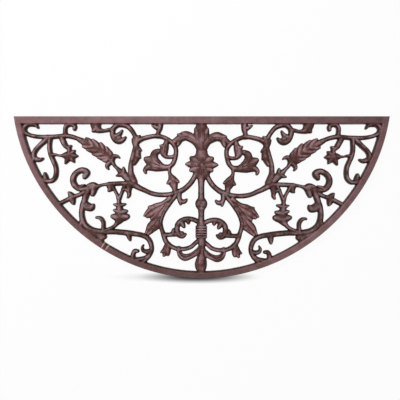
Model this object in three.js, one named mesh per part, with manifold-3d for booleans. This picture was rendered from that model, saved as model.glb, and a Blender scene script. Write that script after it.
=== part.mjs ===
// Half-round cast iron door mat with an openwork pattern of scrolls, leaves and wheat ears.
// Millimetres, +Z up. The origin is the middle of the mat's outline, on the floor.
// The straight bar lies along the threshold, on the +Y side, and the curved rim faces -Y.
import * as THREE from "three";
import { mergeVertices } from "three/addons/utils/BufferGeometryUtils.js";
import Module from "manifold-3d";

const wasm = await Module();
wasm.setup();

// Driving dimensions
const SPAN = 760; // straight bar, from corner to corner
const DEPTH = 328; // back of the bar to the lowest point of the rim
const THICKNESS = 12; // floor to the tread face
const BAR_WIDTH = 15;
const RIM_WIDTH = 12;
const STEM_WIDTH = 8; // an ordinary stem of the pattern, at half height
const DRAFT = 0.4; // lean of each wall from half height to floor or tread, to leave the sand mould
const RIM_FLATTEN = 2.2; // how far the rim runs inside a true circle halfway to its corners
const BEVEL = 1.5; // chamfer along the tread edges of the frame
const SEAM = 0.3; // parting line between neighbouring members
const CARVED_DROP = 2.5; // the right half of the pattern sits this much lower than the left half
const CARVED_FADE = 40; // over this distance from the bar or the corners the two halves grow unlike
const THINNEST = 1; // a leaf tip is no thinner than this
const WELD = 1e-4; // corners closer than this are one

// How finely round shapes are cut into flats
const RIM_FLATS = 46; // flats along the rim
const RIM_OVERRUN = 1.06; // how far past a corner the rim is drawn before it is cut off
const TURN_STEP = 0.42; // largest turn of a stem from one section to the next, in radians
const LENGTH_STEP = 26; // longest straight flat of a stem
const WIDTH_STEP = 3.5; // largest change of width from one section to the next
const FINE = 10; // looks between two drawn points while choosing the sections

// The pattern is drawn for a mat whose right back corner is here, and follows SPAN and DEPTH.
const CORNER = new THREE.Vector2(380, 164);
const MIRROR_X = -2; // the middle line of the drawn pattern
const PATTERN_SCALE = 1.007; // the pattern is this much larger than it is drawn, and lies further right
const PATTERN_SHIFT = 1.2;

const halfSpan = SPAN / 2;
const backY = DEPTH / 2;
const rimRadius = (halfSpan ** 2 + DEPTH ** 2) / (2 * DEPTH);
const rimCentreY = rimRadius - backY;

// Turns a closed mesh into a solid that can be joined and cut.
function solid(geometry) {
  geometry.deleteAttribute("normal");
  geometry.deleteAttribute("uv");
  const merged = mergeVertices(geometry, WELD);
  const mesh = new wasm.Mesh({
    numProp: 3,
    vertProperties: new Float32Array(merged.attributes.position.array),
    triVerts: new Uint32Array(merged.index.array),
  });
  return new wasm.Manifold(mesh);
}

// Turns a solid back into a mesh geometry, keeping its largest body.
function toGeometry(body) {
  const bodies = body.decompose().sort((a, b) => b.volume() - a.volume());
  const mesh = bodies[0].getMesh();
  const geometry = new THREE.BufferGeometry();
  geometry.setAttribute("position", new THREE.BufferAttribute(new Float32Array(mesh.vertProperties), 3));
  geometry.setIndex(new THREE.BufferAttribute(new Uint32Array(mesh.triVerts), 1));
  return geometry.toNonIndexed();
}

// Height of the rim's inner edge at some distance from the middle line, in a mat of some size
const RIM_HOLD = 0.8; // past this share of the way to a corner the pattern's depth follows the bar
function innerRim(share, halfWide, deep) {
  const radius = (halfWide ** 2 + deep ** 2) / (2 * deep);
  const across = Math.min(Math.abs(share), RIM_HOLD) * halfWide;
  return radius - deep / 2 - Math.sqrt((radius - RIM_WIDTH) ** 2 - across ** 2);
}

// A drawn point at its real place, at its drawn share of the way from the bar to the rim.
// The right hand mirrors the left and sits a little lower, less so near the bar and the corners,
// where the frame holds it.
function place([x, y], hand) {
  const spot = new THREE.Vector2(x, y);
  if (hand > 0) {
    const offBar = THREE.MathUtils.clamp((CORNER.y - BAR_WIDTH - y) / CARVED_FADE, 0, 1);
    const offCorner = THREE.MathUtils.clamp((CORNER.x - RIM_WIDTH + x) / CARVED_FADE, 0, 1);
    const unlike = offBar * offCorner;
    spot.set(-x + 2 * MIRROR_X * unlike, y - CARVED_DROP * Math.sqrt(unlike));
  }
  spot.multiplyScalar(PATTERN_SCALE);
  spot.x += PATTERN_SHIFT;
  const share = spot.x / CORNER.x;
  const drawnFront = CORNER.y - BAR_WIDTH;
  const drawnReach = drawnFront - innerRim(share, CORNER.x, 2 * CORNER.y);
  const barFront = backY - BAR_WIDTH;
  const reach = barFront - innerRim(share, halfSpan, DEPTH);
  return new THREE.Vector2(share * halfSpan, barFront - ((drawnFront - spot.y) * reach) / drawnReach);
}

// Sections along a smooth line through the drawn points, closer together where it bends.
// A drawn point is [x, y, width], with the width counted in stem widths.
function sections(points, hand) {
  const drawn = points.map((point) => {
    const spot = place(point, hand);
    return new THREE.Vector3(spot.x, spot.y, point[2] * STEM_WIDTH);
  });
  const line = new THREE.CatmullRomCurve3(drawn, false, "centripetal");
  const looks = (points.length - 1) * FINE;
  const chosen = [];
  let last = null;
  for (let i = 0; i <= looks; i++) {
    const at = line.getPoint(i / looks);
    const ahead = line.getTangent(i / looks);
    const heading = Math.atan2(ahead.y, ahead.x);
    const turned = last === null ? 0 : Math.abs(Math.atan2(Math.sin(heading - last.heading),
      Math.cos(heading - last.heading)));
    const gone = last === null ? 0 : Math.hypot(at.x - last.x, at.y - last.y);
    const swelled = last === null ? 0 : Math.abs(at.z - last.width);
    const due = turned > TURN_STEP || gone > LENGTH_STEP || swelled > WIDTH_STEP;
    if (last === null || due || i === looks) {
      last = { x: at.x, y: at.y, width: Math.max(at.z, THINNEST), heading };
      chosen.push(last);
    }
  }
  return chosen;
}

// One tapered bar of iron along a drawn line, from the floor to the tread face.
// With extra above nought it is that much larger all round, to cut a seam into its neighbours.
function strand(points, hand, extra) {
  const cuts = sections(points, hand);
  const corners = [];
  cuts.forEach((cut, i) => {
    const end = i === 0 ? -1 : i === cuts.length - 1 ? 1 : 0;
    const x = cut.x + Math.cos(cut.heading) * extra * end;
    const y = cut.y + Math.sin(cut.heading) * extra * end;
    const side = new THREE.Vector2(-Math.sin(cut.heading), Math.cos(cut.heading));
    const low = cut.width / 2 + DRAFT + extra;
    const high = cut.width / 2 - DRAFT + extra;
    corners.push(x - side.x * low, y - side.y * low, -extra);
    corners.push(x + side.x * low, y + side.y * low, -extra);
    corners.push(x + side.x * high, y + side.y * high, THICKNESS + extra);
    corners.push(x - side.x * high, y - side.y * high, THICKNESS + extra);
  });
  const faces = [0, 2, 1, 0, 3, 2];
  for (let i = 0; i < cuts.length - 1; i++) {
    for (let k = 0; k < 4; k++) {
      const a = i * 4 + k;
      const b = i * 4 + ((k + 1) % 4);
      faces.push(a, b, a + 4, b, b + 4, a + 4);
    }
  }
  const end = (cuts.length - 1) * 4;
  faces.push(end, end + 1, end + 2, end, end + 2, end + 3);
  const geometry = new THREE.BufferGeometry();
  geometry.setAttribute("position", new THREE.Float32BufferAttribute(corners, 3));
  geometry.setIndex(faces);
  return solid(geometry);
}

const join = (bodies) => bodies.reduce((whole, body) => whole.add(body));

// A short leaf finger from a wide root to a pointed tip
const FINGER_BELLY = 0.6; // width halfway along, as a share of root and tip together
const finger = (x, y, tipX, tipY, root = 1.2, tip = 0.3) => [[x, y, root],
  [(x + tipX) / 2, (y + tipY) / 2, (root + tip) * FINGER_BELLY], [tipX, tipY, tip]];

// The grains of a wheat ear, in pairs along its axis, their tips spread towards the ear's point
const GRAIN_PAIRS = 5;
const GRAIN_LEAN = 0.85; // how far a grain's tip leans back along the axis, as a share of one pair
const GRAIN_REACH = 1.7; // how far on a grain has its root, as a share of one pair
const GRAIN_BULGE = 2; // how far a grain bows out between root and tip
function wheatGrains() {
  const axis = new THREE.CatmullRomCurve3([[-240, 112, 9], [-226.5, 106, 12.5], [-209, 96, 14.5],
    [-197, 86.5, 13], [-186, 78, 9]].map((p) => new THREE.Vector3(...p)));
  const grains = [];
  for (let i = 0; i < GRAIN_PAIRS; i++) {
    for (const out of [-1, 1]) {
      const root = axis.getPoint(Math.min((i + GRAIN_REACH) / GRAIN_PAIRS, 1));
      const tip = axis.getPoint((i + 1 - GRAIN_LEAN) / GRAIN_PAIRS);
      const ahead = axis.getTangent((i + 0.5) / GRAIN_PAIRS);
      const x = tip.x - ahead.y * tip.z * out;
      const y = tip.y + ahead.x * tip.z * out;
      const bowX = (root.x + x) / 2 - ahead.y * GRAIN_BULGE * out;
      const bowY = (root.y + y) / 2 + ahead.x * GRAIN_BULGE * out;
      grains.push([[root.x, root.y, 0.8], [bowX, bowY, 1.15], [x, y, 0.45]]);
    }
  }
  return grains;
}

// Members of the left half. The right half mirrors them.
const cornerVine = [
  [[-331, 139.5, 0.5], [-335, 145, 0.9], [-343, 147, 1.1], [-352, 146.5, 1.2], [-357.5, 142, 1.2],
    [-359, 136, 1.2], [-356, 130, 1.1], [-349, 126, 1], [-340, 123.5, 1], [-328, 122, 1], [-315, 121.5, 1.05],
    [-300, 122, 1.05], [-288, 123, 1.05], [-275, 124, 1.1], [-262, 122, 1.1], [-252, 118.5, 1.1],
    [-243, 114.5, 1.2]],
  [[-284, 121, 1.4], [-279, 110, 1.35], [-275.5, 104, 1.25], [-270.5, 100.5, 1.1], [-264, 104, 0.5]],
  [[-275, 123, 1.1], [-276.5, 134, 1], [-275, 142, 1], [-269, 146.5, 1.1], [-262, 146.5, 1.1],
    [-257, 142.5, 1.1], [-258, 136.5, 0.8]],
];
const cornerBranch = [
  [[-309, 121, 1.4], [-320.5, 111, 1.2], [-329.5, 102.5, 1.1], [-336, 95, 1.1], [-339.5, 87, 1.1],
    [-338.5, 80, 1.1], [-334, 76, 1.1], [-328, 75.5, 1], [-320.5, 78.5, 0.5]],
  [[-337, 80, 1.2], [-342, 71, 0.8]],
];
const cornerStem = [
  [[-306, 122, 1.1], [-307.5, 110, 1.05], [-308, 100, 1.05], [-306.5, 90, 1.05], [-304, 82, 1.05],
    [-299.5, 72, 1.1], [-295.5, 62, 1.1], [-294.5, 50, 1.1], [-296.5, 40, 1.1], [-303, 33.5, 1.1],
    [-312, 32.5, 1.1], [-326, 36, 1.3]],
  finger(-315, 36, -317.5, 49, 1.4, 0.6),
];
const starFlower = [
  [[-305, 84, 1.1], [-297, 86, 0.7], [-290, 84.5, 0.5], [-282, 84, 0.8], [-272, 84, 1.9], [-261, 84, 1.9]],
  finger(-268, 84, -256.5, 95, 1.8),
  finger(-268, 84, -250.5, 83, 1.8),
  finger(-267, 84, -258, 70, 1.9),
  finger(-268, 84, -276.5, 67, 1.7),
  [[-268, 84, 1.1], [-268, 100, 1]],
];
const wheatEar = [
  [[-247, 115, 1.1], [-240, 112, 1.6], [-226.5, 106, 2.2], [-209, 96, 2.7], [-197, 86.5, 2.5],
    [-186, 78, 1.6]],
  ...wheatGrains(),
];
const wheatStalk = [
  [[-190, 80, 1.6], [-182, 72, 1.1], [-177, 64, 0.8], [-171, 58, 0.9], [-163, 50, 1.5], [-155, 43, 1.9],
    [-146, 34, 1.6]],
  [[-182, 72, 1], [-179, 81, 1.2], [-173, 83, 0.9], [-166, 79, 0.3]],
  [[-183, 72, 1.1], [-189, 68, 1.2], [-192, 62, 0.9], [-189, 56, 0.4]],
  finger(-158, 50, -159, 61, 1.2),
  finger(-160, 47, -174, 43, 1.2),
];
const barLeaf = [
  [[-214.5, 158, 2.9], [-215, 147, 2.6], [-212.5, 139, 2.1], [-205, 134.8, 1.2], [-196, 134.3, 0.8],
    [-188, 136, 0.9], [-180, 137, 1]],
  finger(-213, 139, -221.5, 132.5, 1.5, 0.4),
];
const topScroll = [
  [[-132, 113, 1.2], [-136.5, 125, 1.1], [-142.5, 135, 1.15], [-150, 142.5, 1.2], [-160, 146, 1.2],
    [-169, 146, 1.2], [-175, 143, 1.2], [-180, 137, 1.25], [-181, 130, 1.3], [-179, 122, 1.4],
    [-174, 115.5, 1.55], [-167, 113.5, 1.5], [-160, 116, 1.1], [-153.5, 122, 0.4]],
  [[-176, 122, 1.4], [-167, 127, 1.1], [-160.5, 136, 0.4]],
];
const mainStem = [
  [[-130, 123, 1.2], [-133.5, 105, 1.1], [-136.5, 95, 1.1], [-140.5, 80, 1.15], [-144, 65, 1.2],
    [-144, 50, 1.35], [-141.5, 40, 1.7], [-138, 30, 2]],
  finger(-134, 114, -125, 125, 1),
  finger(-134, 105, -138.5, 117, 1.4, 1),
  [[-133, 108, 1], [-131, 98, 1.1], [-130, 88, 1.5], [-132, 78, 1.3], [-138, 66, 0.8]],
  finger(-132, 100, -122.5, 94, 1.3),
  finger(-132, 85, -124.5, 79, 1.3),
];
const ring = [
  [[-133, 113, 1.8], [-127, 115.5, 1.4], [-118, 119, 1.15], [-108, 121.5, 1.05], [-97, 123.5, 1.05],
    [-88, 123.5, 1.05], [-80, 121.5, 1.05], [-71, 117.5, 1.1], [-63, 112, 1.1], [-57, 105.5, 1.15],
    [-53.5, 98, 1.1], [-53, 90, 1.1], [-54.5, 80, 1.1], [-58, 70, 1.1], [-64, 63, 1.05], [-72, 60, 1]],
  [[-90, 122, 1.1], [-88.5, 131, 1.1], [-86, 139, 1.4], [-85.5, 147, 1.6], [-87, 158, 1.5]],
  finger(-89, 139, -102, 145.5, 1.2),
];
const ringBud = [
  [[-71, 114, 1.1], [-73.5, 106, 1.5], [-76, 99, 2], [-77.5, 93, 2.1], [-76.5, 87, 1.6], [-72.5, 82, 1],
    [-65, 81, 0.9], [-55, 83, 0.9]],
  finger(-76, 101, -85, 104, 1, 0.5),
];
const lily = [
  [[-66, 60, 1.3], [-78, 60, 1.7], [-90, 63, 2.6], [-101, 67, 3]],
  [[-90, 65, 2.4], [-97, 78, 2], [-96, 88, 1.8], [-87, 94, 1.1]],
  [[-95, 67, 2.4], [-105, 73, 2.4], [-114.5, 77.5, 1.1]],
  [[-92, 62, 2.4], [-104, 61, 1.8], [-112, 59, 1.3], [-115.5, 54, 1], [-114, 48.5, 0.6]],
];
const ringLeaf = [
  [[-66, 62, 0.8], [-66, 50, 0.8], [-64, 44, 1.1], [-60.5, 36, 1.9], [-58.5, 29, 2.2], [-56, 20, 1.5],
    [-54, 9, 1.2]],
  finger(-60, 37, -47, 30.5, 1.7, 0.4),
  finger(-62, 33, -71, 28, 1.5, 0.4),
];
const ringBase = [
  [[-147, 30, 1.6], [-135, 23.5, 1.5], [-125, 18, 1.3], [-115, 13.5, 1.2], [-105, 9, 1.15], [-95, 6.2, 1.15],
    [-85, 5, 1.15], [-75, 5, 1.15], [-65, 6, 1.15], [-55, 8.5, 1.2], [-48, 11, 1.3], [-40, 14.5, 1.35],
    [-33, 19.5, 1.3], [-26, 26, 1.3], [-20.5, 33, 1.3], [-16.5, 40, 1.25], [-13, 48, 1.1], [-6, 56, 1]],
  [[-47, 10, 1.4], [-46, -3, 1.2], [-43, -8, 1.2], [-36, -8.5, 1.1], [-31, -4, 0.5]],
  finger(-44, -7, -44, -15.5, 1.1, 0.4),
];
const bowlStalk = [
  [[-51, 8, 1.2], [-57, -1, 1.1], [-64, -10, 1.05], [-71, -20, 1], [-77.5, -31, 0.95], [-82.5, -42, 0.95],
    [-84, -52, 0.95], [-82.5, -62, 1], [-80, -70, 1.05], [-77.5, -78, 1.15], [-74.5, -86, 1.2],
    [-70, -93.5, 1.1], [-62, -99.5, 1.05], [-52, -103.5, 1], [-42, -104.5, 1], [-32, -103.5, 1],
    [-22, -99.5, 1], [-15, -93.5, 1], [-5, -85, 1]],
];
const bowlLeaf = [
  [[-62, 1, 1.2], [-79, -12.5, 1.2], [-97, -19.5, 1.5], [-108, -27.5, 1.2], [-118, -38.5, 0.5]],
  finger(-98, -23, -108, -19, 1.4, 0.5),
  [[-68, -12, 1.4], [-84, -22, 2], [-99, -31, 2], [-112.5, -39.5, 0.8]],
  [[-76, -20, 1.4], [-85, -30, 2], [-95, -38, 1.6], [-104, -44, 0.5]],
  [[-82, -34, 1.6], [-89, -42, 1.7], [-97, -50, 1]],
  [[-84, -42, 1.6], [-96, -50.5, 2], [-105, -58, 1.6], [-110, -66, 1], [-114, -73, 0.5]],
  [[-86, -50, 1.5], [-97, -60, 1.7], [-104, -68, 1.4], [-109, -74, 0.7]],
  [[-86, -56, 1.3], [-92, -60.5, 1.2], [-98, -67.5, 0.5]],
];
const bowlSpiral = [
  [[-5, -51, 1.2], [-18, -45, 1.15], [-30, -43.5, 1.2], [-40.5, -46.5, 1.3], [-48.5, -53.5, 1.35],
    [-51, -62, 1.35], [-50, -70, 1.4], [-45.5, -76.5, 1.3], [-39.5, -78.5, 1.1], [-33, -74, 0.6]],
  finger(-42, -50, -36, -61, 1.5, 0.5),
  finger(-29, -47, -27.5, -53, 1.2, 0.5),
  [[-50, -74, 1.2], [-64, -75.5, 1.05], [-79, -76, 1.2]],
  finger(-59, -73, -58, -64, 1.2, 0.5),
];
const rimLeaf = [
  [[-69, -94, 1.4], [-72, -104, 1.9], [-74, -111, 1.5], [-78, -118.5, 0.5]],
  finger(-72, -105, -84, -111, 1.4),
  finger(-70, -105, -69, -116.5, 1.5, 0.6),
];
const swag = [
  [[-47.5, -101, 1], [-46.5, -111, 1.2], [-42, -118.5, 1.5], [-34.5, -121.5, 1.7], [-26, -119.5, 1.45],
    [-17, -115, 1.4], [-9, -109, 1.5], [-1, -101, 1.4]],
];
const lowerStem = [
  [[-204, -69, 1.4], [-190, -69.5, 1.35], [-177, -69.5, 1.35], [-165, -70.5, 1.35], [-150, -72, 1.35],
    [-135, -74, 1.25], [-122, -76.5, 1.2], [-112, -81, 1.2], [-106, -88, 1.2], [-103, -96, 1.15],
    [-102, -104, 1.1], [-104, -112, 1.1], [-108, -119, 1.1], [-115, -126, 1.2], [-122, -134, 1.2]],
  [[-103, -108, 1.2], [-112, -109.5, 1.1], [-119, -107, 0.9], [-121, -101.5, 0.7], [-118.5, -96, 0.4]],
];
const lowerThorns = {
  left: [finger(-149, -74, -145, -88, 1.4, 0.4)],
  right: [finger(-141.5, -75, -142.5, -91, 1.6, 0.6)],
};
const rimHook = [
  [[-108, -117, 1], [-115, -122, 1], [-126, -124.5, 1], [-136, -127, 1.3]],
  [[-139.5, -128, 1.3], [-139.5, -116, 1.2], [-136.5, -109, 1.1], [-129, -108.5, 0.8]],
];
const rimCurl = [
  [[-201, -72, 1.2], [-199, -57, 1], [-200, -49, 1], [-205.5, -42, 0.9], [-214, -40.5, 0.5]],
];
const finial = [
  [[-183, 27, 1], [-178, 17, 0.8], [-172, 6, 0.75], [-168, -3, 1]],
  [[-154, 27, 1], [-159, 17, 0.85], [-163.5, 6, 0.85], [-167.5, -3, 1]],
  [[-168, 1, 1], [-168, -10, 1], [-167, -22, 1.6], [-166.5, -32, 2], [-166.5, -40, 2.6], [-168, -47, 1.8],
    [-171, -52, 1]],
  finger(-168, -17, -179, -14, 1),
  finger(-168, -17, -154.5, -14, 1.1, 0.5),
  finger(-168, -29, -178.5, -25.5, 1.2, 0.5),
  finger(-168, -30, -152, -28, 1.5, 0.7),
  finger(-168, -41, -182, -38, 1.9, 0.9),
  finger(-166, -41, -150, -39, 2.2, 1.2),
  [[-170, -49, 1.1], [-176, -57, 0.95], [-185, -62.5, 0.9], [-200, -68, 0.9]],
  [[-186, 25, 1.8], [-185, 18, 1.5], [-189.5, 12, 0.4]],
  [[-160, 17, 0.9], [-154, 15.5, 0.9], [-149.5, 12.5, 1], [-147.5, 5, 0.95], [-150.5, -1, 0.5]],
  [[-147, 26, 1.9], [-148, 10, 1]],
];
const sideStem = [
  [[-140, 27, 1.2], [-155, 28, 1.15], [-175, 27.5, 1.1], [-190, 26.5, 0.9], [-202, 25, 0.7], [-216, 20, 1.2]],
];
const sideScroll = [
  [[-215, 19, 1.4], [-222, 20, 1.9], [-231, 18, 1.5], [-240, 16.5, 1.3], [-250.5, 18.5, 1.4], [-258, 26, 1.5],
    [-260.5, 36, 1.45], [-257.5, 45, 1.4], [-250, 52, 1.4], [-240.5, 54.5, 1.5], [-233, 49.5, 1.7],
    [-238.5, 37.5, 0.7]],
  finger(-250, 19, -236, 25.5, 1.2),
  [[-231, 23, 0.8], [-220, 24.5, 1.5], [-211, 22, 0.8]],
  [[-219, 24, 1.6], [-219, 14, 1.6], [-221.5, 4, 1]],
  [[-236, 11, 1.2], [-247, 5.5, 1], [-262, 0, 1.1], [-272, -5, 1.1], [-286, -12, 1.1], [-299, -19, 1.2]],
  finger(-262, 2, -269.5, 10.5, 1.5, 0.4),
  finger(-263, -2, -259, -14.5, 1.8, 0.4),
];
const lowerStalk = [
  [[-229, 18, 1.3], [-232.5, 8, 1.5], [-235.5, 0, 1.5], [-238.5, -10, 1.4], [-241.5, -20, 1.35],
    [-243, -30, 1.3], [-242, -42, 1.35], [-238, -53, 1.4], [-230.5, -61, 1.4], [-220, -66.5, 1.4],
    [-210, -68.5, 1.4], [-199, -70, 1.3]],
  [[-238, -15, 2.2], [-231, -19, 2.1], [-224.5, -21, 1.8], [-219.5, -15, 0.7]],
  [[-243, -48, 1.3], [-245, -62, 1.5]],
  [[-232, -66, 1.4], [-218, -73, 1.7], [-205, -78, 1.9], [-196.5, -79.5, 1.2]],
  [[-208, -76, 1.6], [-204, -90, 1.6]],
];

// Members on the middle line
const crownPlume = [
  [[-1.5, 158, 2.2], [-1.5, 146, 2.2], [-1.5, 140, 3], [-1.5, 130, 3.6], [-1.5, 118, 4.1], [-2, 106, 3.2],
    [-1.7, 98, 2.4], [-1.5, 92, 2.4]],
  [[-4, 101, 2], [-11, 110, 1.9], [-20, 118.5, 2.2], [-32.5, 124, 2.3], [-45, 119, 1.8], [-59, 111, 1.2]],
  [[3, 101, 2], [10, 111, 1.7], [18, 118, 2.1], [30, 122.5, 2.3], [42, 117.5, 1.8], [55, 108, 1.2]],
  finger(-9, 129, -14, 138.5, 1.5, 0.5),
  finger(7, 129, 11, 138, 1.5, 0.5),
  finger(-30, 125, -42, 130, 1.4, 0.4),
  finger(-38, 121, -50, 127, 1.5, 0.4),
  finger(36, 121, 48.5, 122.5, 1.5, 0.4),
  finger(-45, 117, -49.5, 104, 1.5, 0.5),
  finger(42, 115, 45.5, 102, 1.5, 0.5),
];
const rosette = [
  [[-1, 91.5, 2.9], [-1, 83, 3.2], [-1, 74, 4.4], [-1, 62, 4.9], [-1, 52, 4.2], [-1, 43, 2.4], [-1, 34, 1.1]],
  finger(-8, 70, -23.5, 80, 2.6, 0.7),
  finger(-8, 66, -34, 67, 2.8, 0.4),
  finger(-8, 61, -24.5, 54, 2.4, 0.6),
  finger(6, 70, 21.5, 79, 2.6, 0.7),
  finger(6, 65, 32, 65.5, 2.8, 0.4),
  finger(6, 60, 20.5, 53.5, 2.4, 0.6),
];
const centreStem = [
  [[-2, 44, 1.8], [-2, 34, 1.7], [-2, 24, 1.5], [-2, 0, 1.6], [-2, -7, 2], [-2, -13, 3], [-2, -20, 2],
    [-2, -30, 1.5], [-2, -53.5, 1.5]],
];
const BALUSTER_RINGS = 5;
const BALUSTER_PITCH = 5;
const baluster = [
  [[-2, -53, 1.4], [-2, -58, 2.3], [-2, -81, 2.3], [-2, -87, 1.7]],
  ...Array.from({ length: BALUSTER_RINGS }, (_, i) => -60 - BALUSTER_PITCH * i)
    .map((y) => [[-13.5, y, 0.5], [9.5, y, 0.5]]),
];
const footPlume = [
  [[-1, -84, 1.8], [-1, -95, 1.7], [-1, -106, 1.7], [-1, -115, 1.9], [-1.5, -124, 2.4], [-2.5, -132, 2.9],
    [-3, -137, 3], [-2, -144, 2.3], [-1.5, -149, 1.7], [-1.5, -158, 1.7]],
];

// A point of the rim's outline, set in by some width. The angle is nought at the middle of the
// rim and one at a corner, and the rim runs a little flatter than a true circle between them.
const cornerAngle = Math.atan2(halfSpan, rimCentreY - backY);
function rimPoint(share, inset) {
  const radius = rimRadius - inset - RIM_FLATTEN * Math.sin(Math.PI * Math.min(Math.abs(share), 1)) ** 2;
  const angle = share * cornerAngle;
  return new THREE.Vector2(radius * Math.sin(angle), rimCentreY - radius * Math.cos(angle));
}

// A block that holds everything in front of a line across the mat
function belowLine(y) {
  const reach = 3 * SPAN;
  const block = new THREE.BoxGeometry(reach, reach, reach);
  block.translate(0, y - reach / 2, 0);
  return solid(block);
}

// Shares of the way from the middle to a corner at which the rim has its flats, past both corners
const rimShares = Array.from({ length: RIM_FLATS + 1 }, (_, i) => ((2 * i) / RIM_FLATS - 1) * RIM_OVERRUN);

// Space inside the rim and in front of a line, for the bar or the pattern to fill
function rimSpace(frontOf) {
  const outline = new THREE.Shape(rimShares.map((share) => rimPoint(share, RIM_WIDTH + SEAM)));
  const block = new THREE.ExtrudeGeometry(outline, { depth: 3 * THICKNESS, bevelEnabled: false });
  block.translate(0, 0, -THICKNESS);
  return solid(block).intersect(belowLine(frontOf));
}

// Upright section of a frame member, from the floor to the tread, with chamfered tread edges
const frameSection = (width) => [[0, 0], [width, 0], [width, THICKNESS - BEVEL],
  [width - BEVEL, THICKNESS], [BEVEL, THICKNESS], [0, THICKNESS - BEVEL]];

// The curved rim, cut off level with the back of the bar, which leaves its sharp corners
function rimBody() {
  const section = frameSection(RIM_WIDTH);
  const corners = [];
  const faces = [];
  const sides = section.length;
  rimShares.forEach((share, i) => {
    for (const [inset, height] of section) {
      const spot = rimPoint(share, inset);
      corners.push(spot.x, spot.y, height);
    }
    for (let k = 0; k < sides && i < RIM_FLATS; k++) {
      const a = i * sides + k;
      const b = i * sides + ((k + 1) % sides);
      faces.push(a, b, a + sides, b, b + sides, a + sides);
    }
  });
  const last = RIM_FLATS * sides;
  for (let k = 1; k < sides - 1; k++) {
    faces.push(0, k + 1, k, last, last + k, last + k + 1);
  }
  const geometry = new THREE.BufferGeometry();
  geometry.setAttribute("position", new THREE.Float32BufferAttribute(corners, 3));
  geometry.setIndex(faces);
  return solid(geometry).intersect(belowLine(backY));
}

// The straight bar, its ends cut to the inside of the rim
function barBody() {
  const section = new THREE.Shape(frameSection(BAR_WIDTH).map((corner) => new THREE.Vector2(...corner)));
  const bar = new THREE.ExtrudeGeometry(section, { depth: SPAN, bevelEnabled: false });
  bar.rotateX(Math.PI / 2);
  bar.rotateZ(Math.PI / 2);
  bar.translate(-halfSpan, backY - BAR_WIDTH, 0);
  return solid(bar).intersect(rimSpace(backY + BAR_WIDTH));
}

// Each member gives way to those before it.
const centreMembers = [["crown_plume", crownPlume], ["rosette", rosette], ["centre_stem", centreStem],
  ["baluster", baluster], ["foot_plume", footPlume]];
const pairedMembers = [["main_stem", mainStem], ["corner_vine", cornerVine], ["ring_base", ringBase],
  ["ring", ring], ["bowl_stalk", bowlStalk], ["lower_stem", lowerStem], ["lower_stalk", lowerStalk],
  ["side_scroll", sideScroll], ["side_stem", sideStem], ["top_scroll", topScroll], ["corner_stem", cornerStem],
  ["corner_branch", cornerBranch], ["star_flower", starFlower], ["wheat_ear", wheatEar],
  ["wheat_stalk", wheatStalk], ["bar_leaf", barLeaf], ["lily", lily], ["ring_bud", ringBud],
  ["ring_leaf", ringLeaf], ["bowl_leaf", bowlLeaf], ["bowl_spiral", bowlSpiral], ["rim_leaf", rimLeaf],
  ["swag", swag], ["rim_hook", rimHook], ["rim_curl", rimCurl], ["finial", finial]];
const unlikeStrands = { lower_stem: lowerThorns }; // what the two halves don't share
const hands = [["left", -1], ["right", 1]];

// Dark red brown paint over iron, a little paler where feet rub the tread
const ironPaint = (color) => new THREE.MeshStandardMaterial({ color, roughness: 0.55, metalness: 0.35 });

const group = new THREE.Group();
function addMember(name, body, color) {
  const mesh = new THREE.Mesh(toGeometry(body), ironPaint(color));
  mesh.name = name;
  group.add(mesh);
}

const RIM_RED_BROWN = 0x6a5050;
const BAR_RED_BROWN = 0x7c6264;
const PATTERN_RED_BROWN = 0x6e5354;
addMember("rim", rimBody(), RIM_RED_BROWN);
addMember("bar", barBody(), BAR_RED_BROWN);
const space = rimSpace(backY - BAR_WIDTH - SEAM);
const done = [];
function addPattern(name, strands, hand) {
  const whole = join(strands.map((points) => strand(points, hand, 0)));
  const free = done.reduce((left, other) => left.subtract(other), whole.intersect(space));
  addMember(name, free, PATTERN_RED_BROWN);
  done.push(join(strands.map((points) => strand(points, hand, SEAM))));
}
for (const [name, strands] of centreMembers) {
  addPattern(name, strands, -1);
}
for (const [name, strands] of pairedMembers) {
  for (const [side, hand] of hands) {
    const own = unlikeStrands[name]?.[side] ?? [];
    addPattern(`${name}_${side}`, [...strands, ...own], hand);
  }
}

export default group;
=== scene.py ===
import math

import bpy
import numpy as np
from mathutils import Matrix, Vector
from mathutils.geometry import delaunay_2d_cdt


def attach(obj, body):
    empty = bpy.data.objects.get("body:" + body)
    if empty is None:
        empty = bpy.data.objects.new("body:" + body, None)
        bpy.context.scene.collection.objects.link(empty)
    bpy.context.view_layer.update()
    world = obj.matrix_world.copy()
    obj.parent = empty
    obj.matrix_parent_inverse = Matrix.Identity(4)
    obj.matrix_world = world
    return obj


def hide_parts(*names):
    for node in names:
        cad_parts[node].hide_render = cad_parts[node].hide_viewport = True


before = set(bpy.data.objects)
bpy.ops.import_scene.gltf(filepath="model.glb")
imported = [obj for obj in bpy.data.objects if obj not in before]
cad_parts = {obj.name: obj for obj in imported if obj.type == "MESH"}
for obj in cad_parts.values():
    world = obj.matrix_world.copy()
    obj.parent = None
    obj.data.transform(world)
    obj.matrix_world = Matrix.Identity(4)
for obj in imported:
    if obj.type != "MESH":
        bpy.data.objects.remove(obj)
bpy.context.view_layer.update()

# Driving sizes of the casting
SPAN = 760.0  # straight bar, from corner to corner
DEPTH = 328.0  # back of the bar to the lowest point of the rim
THICKNESS = 12.0
BAR_WIDTH = 15.0
RIM_WIDTH = 12.0
STEM_WIDTH = 8.0  # a drawn width of 1
RIM_FLATTEN = 2.2  # how far the rim runs inside a true circle halfway to its corners
CARVED_DROP = 2.5  # the right half of the pattern sits this much lower than the left half
CARVED_FADE = 40.0  # over this distance from the bar or the corners the two halves grow unlike
CORNER_X, CORNER_Y = 380.0, 164.0  # the right back corner that the pattern is drawn for
MIRROR_X = -2.0  # the middle line of the drawn pattern
PATTERN_SCALE = 1.007  # the pattern is this much larger than it is drawn, and lies further right
PATTERN_SHIFT = 1.2

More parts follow.
